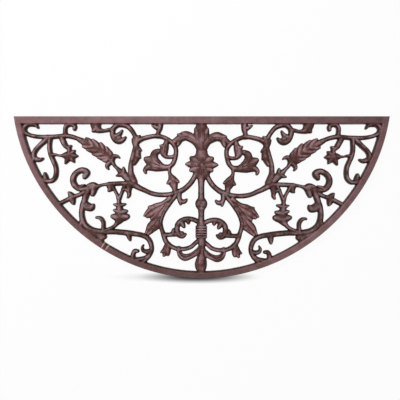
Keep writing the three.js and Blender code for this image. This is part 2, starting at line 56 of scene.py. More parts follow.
# The cast surface
FLARE = 0.5  # the walls lean out by this much from tread to floor
FILLET = 0.9  # softness of the inside corners where members meet
CREASE = 0.35  # softness of the valleys between two crowned forms
EDGE_ROUND = 1.1  # radius along the tread edges
FOOT_CHAMFER = 0.3
LEAST_WIDTH = 1.0  # no strand is thinner
CAP_ROUND = 2.0  # corner radius at a strand's blunt end
CAP_SHARE = 0.9  # this radius is at most such a share of half the strand's width
OUTER_FALL = 1.5  # how fast a crowned form falls away past its edge
FRAME_FALL = 3.0  # the same for the rim and the bar
CREST = -1.1  # middle of a stem against the tread face of the frame
DEEPEST = 7.0  # nothing is carved further below the tread face
SKIN = 0.02  # the tread stays this much below the casting's full thickness
BOSS_RISE = 0.4  # middle of a round boss above a stem's
BOSS_FALL = 2.6  # from there to its edge
BOSS_INSET = 1.0  # its outline against the radius that is given
LINE_TAPER = 0.55  # share of its width that a carved line has lost at its end
RIM_BEVEL = 1.0  # width of the slope that is taken off the rim's tread, along its inner edge
RIM_SPLAY = 1.5  # this slope runs on so far past the rim's own width
BAR_BEVEL = 0.4  # the same along the front of the bar
BEVEL_SLOPE = 2.5
# The small unevenness of a sand casting, in its edges and on its tread: height, wave length and seed
EDGE_WAVES = [(0.07, 7, 1), (0.05, 3, 2)]
TREAD_WAVES = [(0.07, 6, 3), (0.04, 2.5, 4)]

# How fine it is drawn
STEP = 0.75  # pitch of the grid
GRID_MARGIN = 3.0  # the grid runs this far past the casting
REACH = 5.0  # a strand is felt this far from its edge
FLATS = 6  # straight stretches in each span of a drawn line
PER_METRE = 1000
TINY = 1e-6  # keeps a divisor off zero
FAINT = 1e-12  # stands for zero where a logarithm is taken

half_span = SPAN / 2
back_y = DEPTH / 2
rim_radius = (half_span ** 2 + DEPTH ** 2) / (2 * DEPTH)
rim_centre_y = rim_radius - back_y

FINGER_MIDDLE = 0.6  # a finger's width halfway, against its two ends' widths together


def finger(x, y, tip_x, tip_y, root=1.2, tip=0.3):
    """A short leaf finger from a wide root to a pointed tip"""
    middle = [(x + tip_x) / 2, (y + tip_y) / 2, (root + tip) * FINGER_MIDDLE]
    return [[x, y, root], middle, [tip_x, tip_y, tip]]


def smooth_line(points):
    """Points along a smooth curve through the given ones, and the last one"""
    given = np.array(points, float)
    given = np.vstack([2 * given[0] - given[1], given, 2 * given[-1] - given[-2]])
    line = []
    for p0, p1, p2, p3 in zip(given, given[1:], given[2:], given[3:]):
        gap_0, gap_1, gap_2 = (max(math.sqrt(np.linalg.norm(b - a)), TINY)
                               for a, b in ((p0, p1), (p1, p2), (p2, p3)))
        slope_1 = ((p1 - p0) / gap_0 - (p2 - p0) / (gap_0 + gap_1) + (p2 - p1) / gap_1) * gap_1
        slope_2 = ((p2 - p1) / gap_1 - (p3 - p1) / (gap_1 + gap_2) + (p3 - p2) / gap_2) * gap_1
        for t in np.arange(FLATS) / FLATS:
            line.append(p1 * (2 * t ** 3 - 3 * t ** 2 + 1) + slope_1 * (t ** 3 - 2 * t ** 2 + t)
                        + p2 * (3 * t ** 2 - 2 * t ** 3) + slope_2 * (t ** 3 - t ** 2))
    return np.array(line + [given[-2]])


# A wheat ear from its point to its foot: x, y, width in stem widths, and how far the grains' tips spread
EAR = [[-240, 112, 1.6, 9], [-226.5, 106, 2.2, 12.5], [-209, 96, 2.7, 14.5], [-197, 86.5, 2.5, 13],
       [-186, 78, 1.6, 9]]
GRAIN_PAIRS = 5
GRAIN_LEAN = 0.85  # a grain's tip lies this far back from the end of its pair's place
GRAIN_REACH = 1.7  # and its root this far on from the start, both in places
GRAIN_BULGE = 2.0  # its middle bows out this far
GRAIN_WIDTHS = (0.8, 1.15, 0.45)  # at its root, middle and tip


def wheat_grains():
    """The grains of a wheat ear, in pairs along its axis, their tips spread towards the ear's point"""
    axis = smooth_line([[x, y, spread] for x, y, _, spread in EAR])

    def on_axis(share):
        place = share * (len(axis) - 1)
        low = min(int(place), len(axis) - 2)
        along = axis[low + 1] - axis[low]
        return axis[low] + along * (place - low), along

    grains = []
    for i in range(GRAIN_PAIRS):
        root, _ = on_axis(min((i + GRAIN_REACH) / GRAIN_PAIRS, 1))
        tip, _ = on_axis((i + 1 - GRAIN_LEAN) / GRAIN_PAIRS)
        _, ahead = on_axis((i + 0.5) / GRAIN_PAIRS)
        ahead = ahead[:2] / np.linalg.norm(ahead[:2])
        for out in (-1, 1):
            aside = np.array([-ahead[1], ahead[0]]) * out
            end = tip[:2] + aside * tip[2]
            bow = (root[:2] + end) / 2 + aside * GRAIN_BULGE
            grains.append([[*place, width] for place, width in zip((root[:2], bow, end), GRAIN_WIDTHS)])
    return grains


BALUSTER_RINGS = range(-60, -85, -5)  # y of each

# The pattern's members are lists of strands, whose points are drawn as [x, y, width in stem widths].
# Where two members overlap, the one that comes first here keeps the place.

# Members on the middle line
centre = {}
centre["crown_plume"] = [
    [[-1.5, 158, 2.2], [-1.5, 146, 2.2], [-1.5, 140, 3], [-1.5, 130, 3.6], [-1.5, 118, 4.1], [-2, 106, 3.2],
     [-1.7, 98, 2.4], [-1.5, 92, 2.4]],
    [[-4, 101, 2], [-11, 110, 1.9], [-20, 118.5, 2.2], [-32.5, 124, 2.3], [-45, 119, 1.8], [-59, 111, 1.2]],
    [[3, 101, 2], [10, 111, 1.7], [18, 118, 2.1], [30, 122.5, 2.3], [42, 117.5, 1.8], [55, 108, 1.2]],
    finger(-9, 129, -14, 138.5, 1.5, 0.5), finger(7, 129, 11, 138, 1.5, 0.5),
    finger(-30, 125, -42, 130, 1.4, 0.4), finger(-38, 121, -50, 127, 1.5, 0.4),
    finger(36, 121, 48.5, 122.5, 1.5, 0.4), finger(-45, 117, -49.5, 104, 1.5, 0.5),
    finger(42, 115, 45.5, 102, 1.5, 0.5),
]
centre["rosette"] = [
    [[-1, 91.5, 2.9], [-1, 83, 3.2], [-1, 74, 4.4], [-1, 62, 4.9], [-1, 52, 4.2], [-1, 43, 2.4],
     [-1, 34, 1.1]],
    finger(-8, 70, -23.5, 80, 2.6, 0.7), finger(-8, 66, -34, 67, 2.8, 0.4),
    finger(-8, 61, -24.5, 54, 2.4, 0.6), finger(6, 70, 21.5, 79, 2.6, 0.7),
    finger(6, 65, 32, 65.5, 2.8, 0.4), finger(6, 60, 20.5, 53.5, 2.4, 0.6),
]
centre["centre_stem"] = [
    [[-2, 44, 1.8], [-2, 34, 1.7], [-2, 24, 1.5], [-2, 0, 1.6], [-2, -7, 2], [-2, -13, 3], [-2, -20, 2],
     [-2, -30, 1.5], [-2, -53.5, 1.5]],
]
centre["baluster"] = [
    [[-2, -53, 1.4], [-2, -58, 2.3], [-2, -81, 2.3], [-2, -87, 1.7]],
    *[[[-13.5, y, 0.5], [9.5, y, 0.5]] for y in BALUSTER_RINGS],
]
centre["foot_plume"] = [
    [[-1, -84, 1.8], [-1, -95, 1.7], [-1, -106, 1.7], [-1, -115, 1.9], [-1.5, -124, 2.4], [-2.5, -132, 2.9],
     [-3, -137, 3], [-2, -144, 2.3], [-1.5, -149, 1.7], [-1.5, -158, 1.7]],
]

# Members of the left half, which the right half mirrors
paired = {}
paired["main_stem"] = [
    [[-130, 123, 1.2], [-133.5, 105, 1.1], [-136.5, 95, 1.1], [-140.5, 80, 1.15], [-144, 65, 1.2],
     [-144, 50, 1.35], [-141.5, 40, 1.7], [-138, 30, 2]],
    finger(-134, 114, -125, 125, 1), finger(-134, 105, -138.5, 117, 1.4, 1),
    [[-133, 108, 1], [-131, 98, 1.1], [-130, 88, 1.5], [-132, 78, 1.3], [-138, 66, 0.8]],
    finger(-132, 100, -122.5, 94, 1.3), finger(-132, 85, -124.5, 79, 1.3),
]
paired["corner_vine"] = [
    [[-331, 139.5, 0.5], [-335, 145, 0.9], [-343, 147, 1.1], [-352, 146.5, 1.2], [-357.5, 142, 1.2],
     [-359, 136, 1.2], [-356, 130, 1.1], [-349, 126, 1], [-340, 123.5, 1], [-328, 122, 1],
     [-315, 121.5, 1.05], [-300, 122, 1.05], [-288, 123, 1.05], [-275, 124, 1.1], [-262, 122, 1.1],
     [-252, 118.5, 1.1], [-243, 114.5, 1.2]],
    [[-284, 121, 1.4], [-279, 110, 1.35], [-275.5, 104, 1.25], [-270.5, 100.5, 1.1], [-264, 104, 0.5]],
    [[-275, 123, 1.1], [-276.5, 134, 1], [-275, 142, 1], [-269, 146.5, 1.1], [-262, 146.5, 1.1],
     [-257, 142.5, 1.1], [-258, 136.5, 0.8]],
]
paired["ring_base"] = [
    [[-147, 30, 1.6], [-135, 23.5, 1.5], [-125, 18, 1.3], [-115, 13.5, 1.2], [-105, 9, 1.15],
     [-95, 6.2, 1.15], [-85, 5, 1.15], [-75, 5, 1.15], [-65, 6, 1.15], [-55, 8.5, 1.2], [-48, 11, 1.3],
     [-40, 14.5, 1.35], [-33, 19.5, 1.3], [-26, 26, 1.3], [-20.5, 33, 1.3], [-16.5, 40, 1.25],
     [-13, 48, 1.1], [-6, 56, 1]],
    [[-47, 10, 1.4], [-46, -3, 1.2], [-43, -8, 1.2], [-36, -8.5, 1.1], [-31, -4, 0.5]],
    finger(-44, -7, -44, -15.5, 1.1, 0.4),
]
paired["ring"] = [
    [[-133, 113, 1.8], [-127, 115.5, 1.4], [-118, 119, 1.15], [-108, 121.5, 1.05], [-97, 123.5, 1.05],
     [-88, 123.5, 1.05], [-80, 121.5, 1.05], [-71, 117.5, 1.1], [-63, 112, 1.1], [-57, 105.5, 1.15],
     [-53.5, 98, 1.1], [-53, 90, 1.1], [-54.5, 80, 1.1], [-58, 70, 1.1], [-64, 63, 1.05], [-72, 60, 1]],
    [[-90, 122, 1.1], [-88.5, 131, 1.1], [-86, 139, 1.4], [-85.5, 147, 1.6], [-87, 158, 1.5]],
    finger(-89, 139, -102, 145.5, 1.2),
]
paired["bowl_stalk"] = [
    [[-51, 8, 1.2], [-57, -1, 1.1], [-64, -10, 1.05], [-71, -20, 1], [-77.5, -31, 0.95], [-82.5, -42, 0.95],
     [-84, -52, 0.95], [-82.5, -62, 1], [-80, -70, 1.05], [-77.5, -78, 1.15], [-74.5, -86, 1.2],
     [-70, -93.5, 1.1], [-62, -99.5, 1.05], [-52, -103.5, 1], [-42, -104.5, 1], [-32, -103.5, 1],
     [-22, -99.5, 1], [-15, -93.5, 1], [-5, -85, 1]],
]
paired["lower_stem"] = [
    [[-204, -69, 1.4], [-190, -69.5, 1.35], [-177, -69.5, 1.35], [-165, -70.5, 1.35], [-150, -72, 1.35],
     [-135, -74, 1.25], [-122, -76.5, 1.2], [-112, -81, 1.2], [-106, -88, 1.2], [-103, -96, 1.15],
     [-102, -104, 1.1], [-104, -112, 1.1], [-108, -119, 1.1], [-115, -126, 1.2], [-122, -134, 1.2]],
    [[-103, -108, 1.2], [-112, -109.5, 1.1], [-119, -107, 0.9], [-121, -101.5, 0.7], [-118.5, -96, 0.4]],
]
paired["lower_stalk"] = [
    [[-229, 18, 1.3], [-232.5, 8, 1.5], [-235.5, 0, 1.5], [-238.5, -10, 1.4], [-241.5, -20, 1.35],
     [-243, -30, 1.3], [-242, -42, 1.35], [-238, -53, 1.4], [-230.5, -61, 1.4], [-220, -66.5, 1.4],
     [-210, -68.5, 1.4], [-199, -70, 1.3]],
    [[-238, -15, 2.2], [-231, -19, 2.1], [-224.5, -21, 1.8], [-219.5, -15, 0.7]],
    [[-243, -48, 1.3], [-245, -62, 1.5]],
    [[-232, -66, 1.4], [-218, -73, 1.7], [-205, -78, 1.9], [-196.5, -79.5, 1.2]],
    [[-208, -76, 1.6], [-204, -90, 1.6]],
]
paired["side_scroll"] = [
    [[-215, 19, 1.4], [-222, 20, 1.9], [-231, 18, 1.5], [-240, 16.5, 1.3], [-250.5, 18.5, 1.4],
     [-258, 26, 1.5], [-260.5, 36, 1.45], [-257.5, 45, 1.4], [-250, 52, 1.4], [-240.5, 54.5, 1.5],
     [-233, 49.5, 1.7], [-238.5, 37.5, 0.7]],
    finger(-250, 19, -236, 25.5, 1.2),
    [[-231, 23, 0.8], [-220, 24.5, 1.5], [-211, 22, 0.8]],
    [[-219, 24, 1.6], [-219, 14, 1.6], [-221.5, 4, 1]],
    [[-236, 11, 1.2], [-247, 5.5, 1], [-262, 0, 1.1], [-272, -5, 1.1], [-286, -12, 1.1], [-299, -19, 1.2]],
    finger(-262, 2, -269.5, 10.5, 1.5, 0.4), finger(-263, -2, -259, -14.5, 1.8, 0.4),
]
paired["side_stem"] = [
    [[-140, 27, 1.2], [-155, 28, 1.15], [-175, 27.5, 1.1], [-190, 26.5, 0.9], [-202, 25, 0.7],
     [-216, 20, 1.2]],
]
paired["top_scroll"] = [
    [[-132, 113, 1.2], [-136.5, 125, 1.1], [-142.5, 135, 1.15], [-150, 142.5, 1.2], [-160, 146, 1.2],
     [-169, 146, 1.2], [-175, 143, 1.2], [-180, 137, 1.25], [-181, 130, 1.3], [-179, 122, 1.4],
     [-174, 115.5, 1.55], [-167, 113.5, 1.5], [-160, 116, 1.1], [-153.5, 122, 0.4]],
    [[-176, 122, 1.4], [-167, 127, 1.1], [-160.5, 136, 0.4]],
]
paired["corner_stem"] = [
    [[-306, 122, 1.1], [-307.5, 110, 1.05], [-308, 100, 1.05], [-306.5, 90, 1.05], [-304, 82, 1.05],
     [-299.5, 72, 1.1], [-295.5, 62, 1.1], [-294.5, 50, 1.1], [-296.5, 40, 1.1], [-303, 33.5, 1.1],
     [-312, 32.5, 1.1], [-326, 36, 1.3]],
    finger(-315, 36, -317.5, 49, 1.4, 0.6),
]
paired["corner_branch"] = [
    [[-309, 121, 1.4], [-320.5, 111, 1.2], [-329.5, 102.5, 1.1], [-336, 95, 1.1], [-339.5, 87, 1.1],
     [-338.5, 80, 1.1], [-334, 76, 1.1], [-328, 75.5, 1], [-320.5, 78.5, 0.5]],
    [[-337, 80, 1.2], [-342, 71, 0.8]],
]
paired["star_flower"] = [
    [[-305, 84, 1.1], [-297, 86, 0.7], [-290, 84.5, 0.5], [-282, 84, 0.8], [-272, 84, 1.9], [-261, 84, 1.9]],
    finger(-268, 84, -256.5, 95, 1.8), finger(-268, 84, -250.5, 83, 1.8), finger(-267, 84, -258, 70, 1.9),
    finger(-268, 84, -276.5, 67, 1.7),
    [[-268, 84, 1.1], [-268, 100, 1]],
]
paired["wheat_ear"] = [
    [[-247, 115, 1.1], *(point[:3] for point in EAR)],
    *wheat_grains(),
]
paired["wheat_stalk"] = [
    [[-190, 80, 1.6], [-182, 72, 1.1], [-177, 64, 0.8], [-171, 58, 0.9], [-163, 50, 1.5], [-155, 43, 1.9],
     [-146, 34, 1.6]],
    [[-182, 72, 1], [-179, 81, 1.2], [-173, 83, 0.9], [-166, 79, 0.3]],
    [[-183, 72, 1.1], [-189, 68, 1.2], [-192, 62, 0.9], [-189, 56, 0.4]],
    finger(-158, 50, -159, 61, 1.2), finger(-160, 47, -174, 43, 1.2),
]
paired["bar_leaf"] = [
    [[-214.5, 158, 2.9], [-215, 147, 2.6], [-212.5, 139, 2.1], [-205, 134.8, 1.2], [-196, 134.3, 0.8],
     [-188, 136, 0.9], [-180, 137, 1]],
    finger(-213, 139, -221.5, 132.5, 1.5, 0.4),
]
paired["lily"] = [
    [[-66, 60, 1.3], [-78, 60, 1.7], [-90, 63, 2.6], [-101, 67, 3]],
    [[-90, 65, 2.4], [-97, 78, 2], [-96, 88, 1.8], [-87, 94, 1.1]],
    [[-95, 67, 2.4], [-105, 73, 2.4], [-114.5, 77.5, 1.1]],
    [[-92, 62, 2.4], [-104, 61, 1.8], [-112, 59, 1.3], [-115.5, 54, 1], [-114, 48.5, 0.6]],
]
paired["ring_bud"] = [
    [[-71, 114, 1.1], [-73.5, 106, 1.5], [-76, 99, 2], [-77.5, 93, 2.1], [-76.5, 87, 1.6], [-72.5, 82, 1],
     [-65, 81, 0.9], [-55, 83, 0.9]],
    finger(-76, 101, -85, 104, 1, 0.5),
]
paired["ring_leaf"] = [
    [[-66, 62, 0.8], [-66, 50, 0.8], [-64, 44, 1.1], [-60.5, 36, 1.9], [-58.5, 29, 2.2], [-56, 20, 1.5],
     [-54, 9, 1.2]],
    finger(-60, 37, -47, 30.5, 1.7, 0.4), finger(-62, 33, -71, 28, 1.5, 0.4),
]
paired["bowl_leaf"] = [
    [[-62, 1, 1.2], [-79, -12.5, 1.2], [-97, -19.5, 1.5], [-108, -27.5, 1.2], [-118, -38.5, 0.5]],
    finger(-98, -23, -108, -19, 1.4, 0.5),
    [[-68, -12, 1.4], [-84, -22, 2], [-99, -31, 2], [-112.5, -39.5, 0.8]],
    [[-76, -20, 1.4], [-85, -30, 2], [-95, -38, 1.6], [-104, -44, 0.5]],
    [[-82, -34, 1.6], [-89, -42, 1.7], [-97, -50, 1]],
    [[-84, -42, 1.6], [-96, -50.5, 2], [-105, -58, 1.6], [-110, -66, 1], [-114, -73, 0.5]],
    [[-86, -50, 1.5], [-97, -60, 1.7], [-104, -68, 1.4], [-109, -74, 0.7]],
    [[-86, -56, 1.3], [-92, -60.5, 1.2], [-98, -67.5, 0.5]],
]
paired["bowl_spiral"] = [
    [[-5, -51, 1.2], [-18, -45, 1.15], [-30, -43.5, 1.2], [-40.5, -46.5, 1.3], [-48.5, -53.5, 1.35],
     [-51, -62, 1.35], [-50, -70, 1.4], [-45.5, -76.5, 1.3], [-39.5, -78.5, 1.1], [-33, -74, 0.6]],
    finger(-42, -50, -36, -61, 1.5, 0.5), finger(-29, -47, -27.5, -53, 1.2, 0.5),
    [[-50, -74, 1.2], [-64, -75.5, 1.05], [-79, -76, 1.2]],
    finger(-59, -73, -58, -64, 1.2, 0.5),
]
paired["rim_leaf"] = [
    [[-69, -94, 1.4], [-72, -104, 1.9], [-74, -111, 1.5], [-78, -118.5, 0.5]],
    finger(-72, -105, -84, -111, 1.4), finger(-70, -105, -69, -116.5, 1.5, 0.6),
]
paired["swag"] = [
    [[-47.5, -101, 1], [-46.5, -111, 1.2], [-42, -118.5, 1.5], [-34.5, -121.5, 1.7], [-26, -119.5, 1.45],
     [-17, -115, 1.4], [-9, -109, 1.5], [-1, -101, 1.4]],
]
paired["rim_hook"] = [
    [[-108, -117, 1], [-115, -122, 1], [-126, -124.5, 1], [-136, -127, 1.3]],
    [[-139.5, -128, 1.3], [-139.5, -116, 1.2], [-136.5, -109, 1.1], [-129, -108.5, 0.8]],
]
paired["rim_curl"] = [
    [[-201, -72, 1.2], [-199, -57, 1], [-200, -49, 1], [-205.5, -42, 0.9], [-214, -40.5, 0.5]],
]
paired["finial"] = [
    [[-183, 27, 1], [-178, 17, 0.8], [-172, 6, 0.75], [-168, -3, 1]],
    [[-154, 27, 1], [-159, 17, 0.85], [-163.5, 6, 0.85], [-167.5, -3, 1]],
    [[-168, 1, 1], [-168, -10, 1], [-167, -22, 1.6], [-166.5, -32, 2], [-166.5, -40, 2.6], [-168, -47, 1.8],
     [-171, -52, 1]],
    finger(-168, -17, -179, -14, 1), finger(-168, -17, -154.5, -14, 1.1, 0.5),
    finger(-168, -29, -178.5, -25.5, 1.2, 0.5), finger(-168, -30, -152, -28, 1.5, 0.7),
    finger(-168, -41, -182, -38, 1.9, 0.9), finger(-166, -41, -150, -39, 2.2, 1.2),
    [[-170, -49, 1.1], [-176, -57, 0.95], [-185, -62.5, 0.9], [-200, -68, 0.9]],
    [[-186, 25, 1.8], [-185, 18, 1.5], [-189.5, 12, 0.4]],
    [[-160, 17, 0.9], [-154, 15.5, 0.9], [-149.5, 12.5, 1], [-147.5, 5, 0.95], [-150.5, -1, 0.5]],
    [[-147, 26, 1.9], [-148, 10, 1]],
]

# A thorn that differs from side to side
unlike_strands = {
    "lower_stem": {"left": [finger(-149, -74, -145, -88, 1.4, 0.4)],
                   "right": [finger(-141.5, -75, -142.5, -91, 1.6, 0.6)]},
}

# How far the edges of a member fall below its middle, and how far its first strand lies below the others
STEM_CROWN = 3.6
crowns = {"crown_plume": 3.0, "rosette": 2.8, "baluster": 3.4, "foot_plume": 3.0, "wheat_ear": 2.1,
          "star_flower": 3.2, "bowl_leaf": 2.4, "rim_leaf": 2.6, "ring_leaf": 2.8, "bar_leaf": 2.8,
          "lily": 3.0, "ring_bud": 3.0, "swag": 1.6, "main_stem": 2.4}
first_drops = {"rosette": 0.6, "baluster": 0.3, "wheat_ear": 0.6, "star_flower": 0.6}

# Lines carved into a member's face: depth, width at the start, and the points of the line. They run
# out to nothing at their ends. A negative depth is a raised rib.
carved_lines = {
    "crown_plume": [
        (1.5, 2.4, [(-17, 129), (-15, 124), (-13, 116), (-10, 106)]),
        (1.5, 2.4, [(14, 128), (13, 122), (12, 114), (9, 106)]),
        (1.0, 2.0, [(-6, 146), (-7, 130), (-6, 112), (-4, 98)]),
        (1.0, 2.0, [(3.5, 146), (4.5, 130), (4, 112), (2, 98)]),
        (1.3, 2.4, [(-15, 113), (-24, 119), (-36, 121.5), (-48, 117), (-60, 110)]),
        (1.0, 1.8, [(-14, 121), (-24, 126), (-36, 128.5), (-48, 124)]),
        (1.0, 1.8, [(-26, 113), (-36, 115), (-48, 110.5)]),
        (1.3, 2.4, [(13, 113), (22, 118.5), (33, 120.5), (44, 116.5), (56, 108)]),
        (1.0, 1.8, [(12, 121), (22, 125.5), (33, 127.5), (44, 123.5)]),
        (1.0, 1.8, [(23, 112.5), (33, 114), (44, 110)]),
        (-0.6, 2.2, [(-1, 134), (-1, 118), (-1.5, 100)]),
    ],
    "rosette": [
        (1.4, 2.2, [(-8, 69), (-20, 75.5)]), (1.4, 2.2, [(-8, 62), (-22, 59.5)]),
        (1.4, 2.2, [(-6, 72), (-14, 82)]), (1.4, 2.2, [(-6, 58), (-13, 50)]),
        (1.4, 2.2, [(6, 68), (18, 74)]), (1.4, 2.2, [(6, 61), (19, 58.5)]),
        (1.4, 2.2, [(4, 72), (12, 82)]), (1.4, 2.2, [(4, 58), (11, 50)]),
        (1.3, 2.4, [(-4, 57), (-8, 48), (-12, 41)]), (1.3, 2.4, [(2, 57), (6, 48), (9, 41)]),
        (1.1, 2.2, [(-1, 55), (-1.5, 40)]),
        (1.0, 2.0, [(-9, 58), (-19, 50)]), (1.0, 2.0, [(7, 57), (17, 49)]),
        (-0.6, 2.0, [(-10, 66), (-28, 67)]), (-0.6, 2.0, [(8, 65), (26, 65.5)]),
    ],
    "centre_stem": [
        (1.7, 2.4, [(-12, -7), (-2, -7), (8, -7)]), (1.7, 2.4, [(-12, -19.5), (-2, -19.5), (8, -19.5)]),
        (-0.7, 2.2, [(-3.5, 24), (-3.5, 0)]),
    ],
    "baluster": [(0.9, 1.8, [(-12, y), (-2, y), (8, y)]) for y in (-57, -62.5, -67.5, -72.5, -77.5, -84)],
    "foot_plume": [
        (2.0, 3.4, [(-3, -106), (-6, -116), (-8, -128)]), (2.0, 3.4, [(2, -106), (4, -116), (5, -128)]),
        (2.2, 3.2, [(-7.5, -124), (-8.5, -134), (-6, -146)]),
        (2.2, 3.2, [(4, -124), (4.5, -134), (2.5, -146)]),
        (1.2, 2.2, [(-1.5, -92), (-1.5, -104)]),
        (-0.7, 2.2, [(-4, -86), (-5, -100), (-8, -110)]),
    ],
    "bowl_leaf": [
        (2.0, 2.8, [(-74, -14), (-84, -27), (-93, -37), (-103, -47)]),
        (1.3, 2.2, [(-68, -8), (-84, -17), (-100, -24), (-112, -33)]),
        (1.2, 2.0, [(-78, -30), (-84, -42), (-87, -56), (-86, -63)]),
        (1.3, 2.2, [(-84, -38), (-95, -52), (-104, -66), (-108, -73)]),
    ],
    "lily": [
        (1.6, 2.8, [(-84, 66), (-93, 74), (-98, 84)]), (1.6, 2.8, [(-84, 62), (-98, 68), (-110, 71)]),
        (1.4, 2.4, [(-84, 58), (-98, 60), (-110, 59)]),
    ],
    "ring_bud": [
        (1.6, 2.6, [(-73, 108), (-75, 98), (-76, 88)]), (1.1, 2.0, [(-79, 102), (-81, 94), (-80, 88)]),
    ],
    "ring_leaf": [(1.5, 2.4, [(-65, 44), (-61, 34), (-56, 20)]), (1.0, 2.0, [(-60, 34), (-51, 30)])],
    "swag": [(2.4, 6.0, [(-46, -108), (-42, -116), (-34.5, -120), (-25, -117.5), (-14, -111)])],
    "bar_leaf": [
        (1.2, 2.0, [(-219, 148), (-215, 138), (-206, 133.5)]),
        (1.0, 1.8, [(-209, 149), (-209, 141), (-203, 137)]),
    ],
    "rim_leaf": [(1.4, 2.2, [(-71, -98), (-73, -106), (-72, -116)]), (1.2, 2.2, [(-74, -103), (-80, -111)])],
    "top_scroll": [(1.8, 3.0, [(-174, 134), (-172, 126), (-166, 121)])],
    "side_scroll": [(1.2, 2.2, [(-255, 50), (-246, 47), (-238, 49)])],
}

# Round bosses, as x, y and radius: pods, the eye of the rosette and the ends of the scrolls
bosses = {
    "rosette": [(-1, 65, 6)],
    "lower_stalk": [(-203, -80, 7.5), (-224, -20, 6)],
    "side_scroll": [(-236, 44, 6), (-218, 22, 6.5)],
    "top_scroll": [(-168, 119, 7)],
    "bowl_spiral": [(-41, -73, 5.5)],
    "star_flower": [(-268, 84, 4.5)],
    "rim_curl": [(-213, -41, 3)],
    "corner_branch": [(-332, 77, 4.5)],
}

# Where a member dives under its neighbour: x, y, reach and depth
sinks = {"ring_base": [(-4, 58, 26, 7)], "bowl_stalk": [(-8, -86, 12, 3)], "bowl_spiral": [(-5, -51, 10, 3)]}

xs = np.arange(-half_span - GRID_MARGIN, half_span + GRID_MARGIN + STEP, STEP)
ys = np.arange(-back_y - GRID_MARGIN, back_y + GRID_MARGIN + STEP, STEP)
grid_x, grid_y = np.meshgrid(xs, ys)


def placed(point, hand):
    """Where a drawn point lies in the casting, whose right half isn't a true mirror of the left"""
    x, y = point[:2]
    if hand > 0:
        off_bar = min(max((CORNER_Y - BAR_WIDTH - y) / CARVED_FADE, 0), 1)
        off_corner = min(max((CORNER_X - RIM_WIDTH + x) / CARVED_FADE, 0), 1)
        share = off_bar * off_corner
        x, y = -x + 2 * MIRROR_X * share, y - CARVED_DROP * math.sqrt(share)
    x, y = x * PATTERN_SCALE + PATTERN_SHIFT, y * PATTERN_SCALE
    return np.array([x * half_span / CORNER_X, y * back_y / CORNER_Y])


def window(low, high):
    """The part of the grid between two corners"""
    return tuple(slice(max(int((low[k] - places[0]) / STEP), 0), int((high[k] - places[0]) / STEP) + 2)
                 for k, places in ((1, ys), (0, xs)))


def away_from(place, area):
    """Distance from a place, on a part of the grid"""
    return np.hypot(grid_x[area] - place[0], grid_y[area] - place[1])


def strand_field(points, hand):
    """Distance outside a strand, and place across it from -1 to 1, on the grid around it"""
    line = smooth_line([[*placed(point, hand), point[2] * STEM_WIDTH] for point in points])
    middle = line[:, :2]
    half = np.maximum(line[:, 2], LEAST_WIDTH) / 2
    pad = half.max() + REACH
    area = window(middle.min(0) - pad, middle.max(0) + pad)
    x, y = grid_x[area], grid_y[area]
    outside = np.full(x.shape, REACH)
    across = np.ones(x.shape)
    last = len(middle) - 2
    for k in range(last + 1):
        a, b = middle[k], middle[k + 1]
        along = b - a
        length = math.hypot(*along)
        if length < TINY:
            continue
        near = (abs(x - (a[0] + b[0]) / 2) < pad + length) & (abs(y - (a[1] + b[1]) / 2) < pad + length)
        px, py = x[near] - a[0], y[near] - a[1]
        t = (px * along[0] + py * along[1]) / length ** 2
        side = (py * along[0] - px * along[1]) / length
        held = np.clip(t, 0, 1)
        width = half[k] + (half[k + 1] - half[k]) * held
        distance = np.hypot(px - along[0] * held, py - along[1] * held)
        found = distance - width
        for end, beyond in ((0, -t * length), (last, (t - 1) * length)):
            if k == end:
                corner = min(CAP_SHARE * half[k if end == 0 else k + 1], CAP_ROUND)
                out_side = abs(side) - (width - corner)
                out_end = beyond + corner
                capped = (np.minimum(np.maximum(out_side, out_end), 0)
                          + np.hypot(np.maximum(out_side, 0), np.maximum(out_end, 0)) - corner)
                found = np.where(out_end > 0, capped, found)
        closer = found < outside[near]
        rows, columns = (spots[closer] for spots in np.nonzero(near))
        outside[rows, columns] = found[closer]
        share = np.where((t >= 0) & (t <= 1), side, np.sign(side) * distance) / width
        across[rows, columns] = share[closer]
    return area, outside, across


def between_four(values, j, i, v, u):
    """Values of a grid from row j and column i on, v and u of the way to the next row and column"""
    return ((values[j, i] * (1 - u) + values[j, i + 1] * u) * (1 - v)
            + (values[j + 1, i] * (1 - u) + values[j + 1, i + 1] * u) * v)


def ripple(wave, seed):
    """Smooth random waves of height about 1"""
    random = np.random.default_rng(seed)
    knots = random.standard_normal([int((places[-1] - places[0]) / wave) + 3 for places in (ys, xs)])
    column, row = (grid_x - xs[0]) / wave, (grid_y - ys[0]) / wave
    i, j = column.astype(int), row.astype(int)
    u, v = column - i, row - j
    return between_four(knots, j, i, v * v * (3 - 2 * v), u * u * (3 - 2 * u))


# The relief of the whole casting, gathered member by member
closeness, raised, carved = np.zeros((3, *grid_x.shape))
nearest = np.full(grid_x.shape, np.inf)
owner, nearest_owner = np.zeros((2, *grid_x.shape), np.int16)
names = []
# How many softnesses of distance and of height still count, which keeps the exponentials in bounds
CLOSENESS_SPAN = (-14, 14)
RAISED_SPAN = (-40, 4)


def gather(name, parts):
    """Adds a member: parts are windows of the grid with the distance outside and the height there"""
    names.append(name)
    number = len(names)
    for area, outside, height in parts:
        closeness[area] += np.exp(np.clip(-outside / FILLET, *CLOSENESS_SPAN))
        raised[area] += np.exp(np.clip(height / CREASE, *RAISED_SPAN))
        inside = (outside < 0) & (owner[area] == 0)
        owner[area][inside] = number
        closer = outside < nearest[area]
        nearest[area][closer] = outside[closer]
        nearest_owner[area][closer] = number


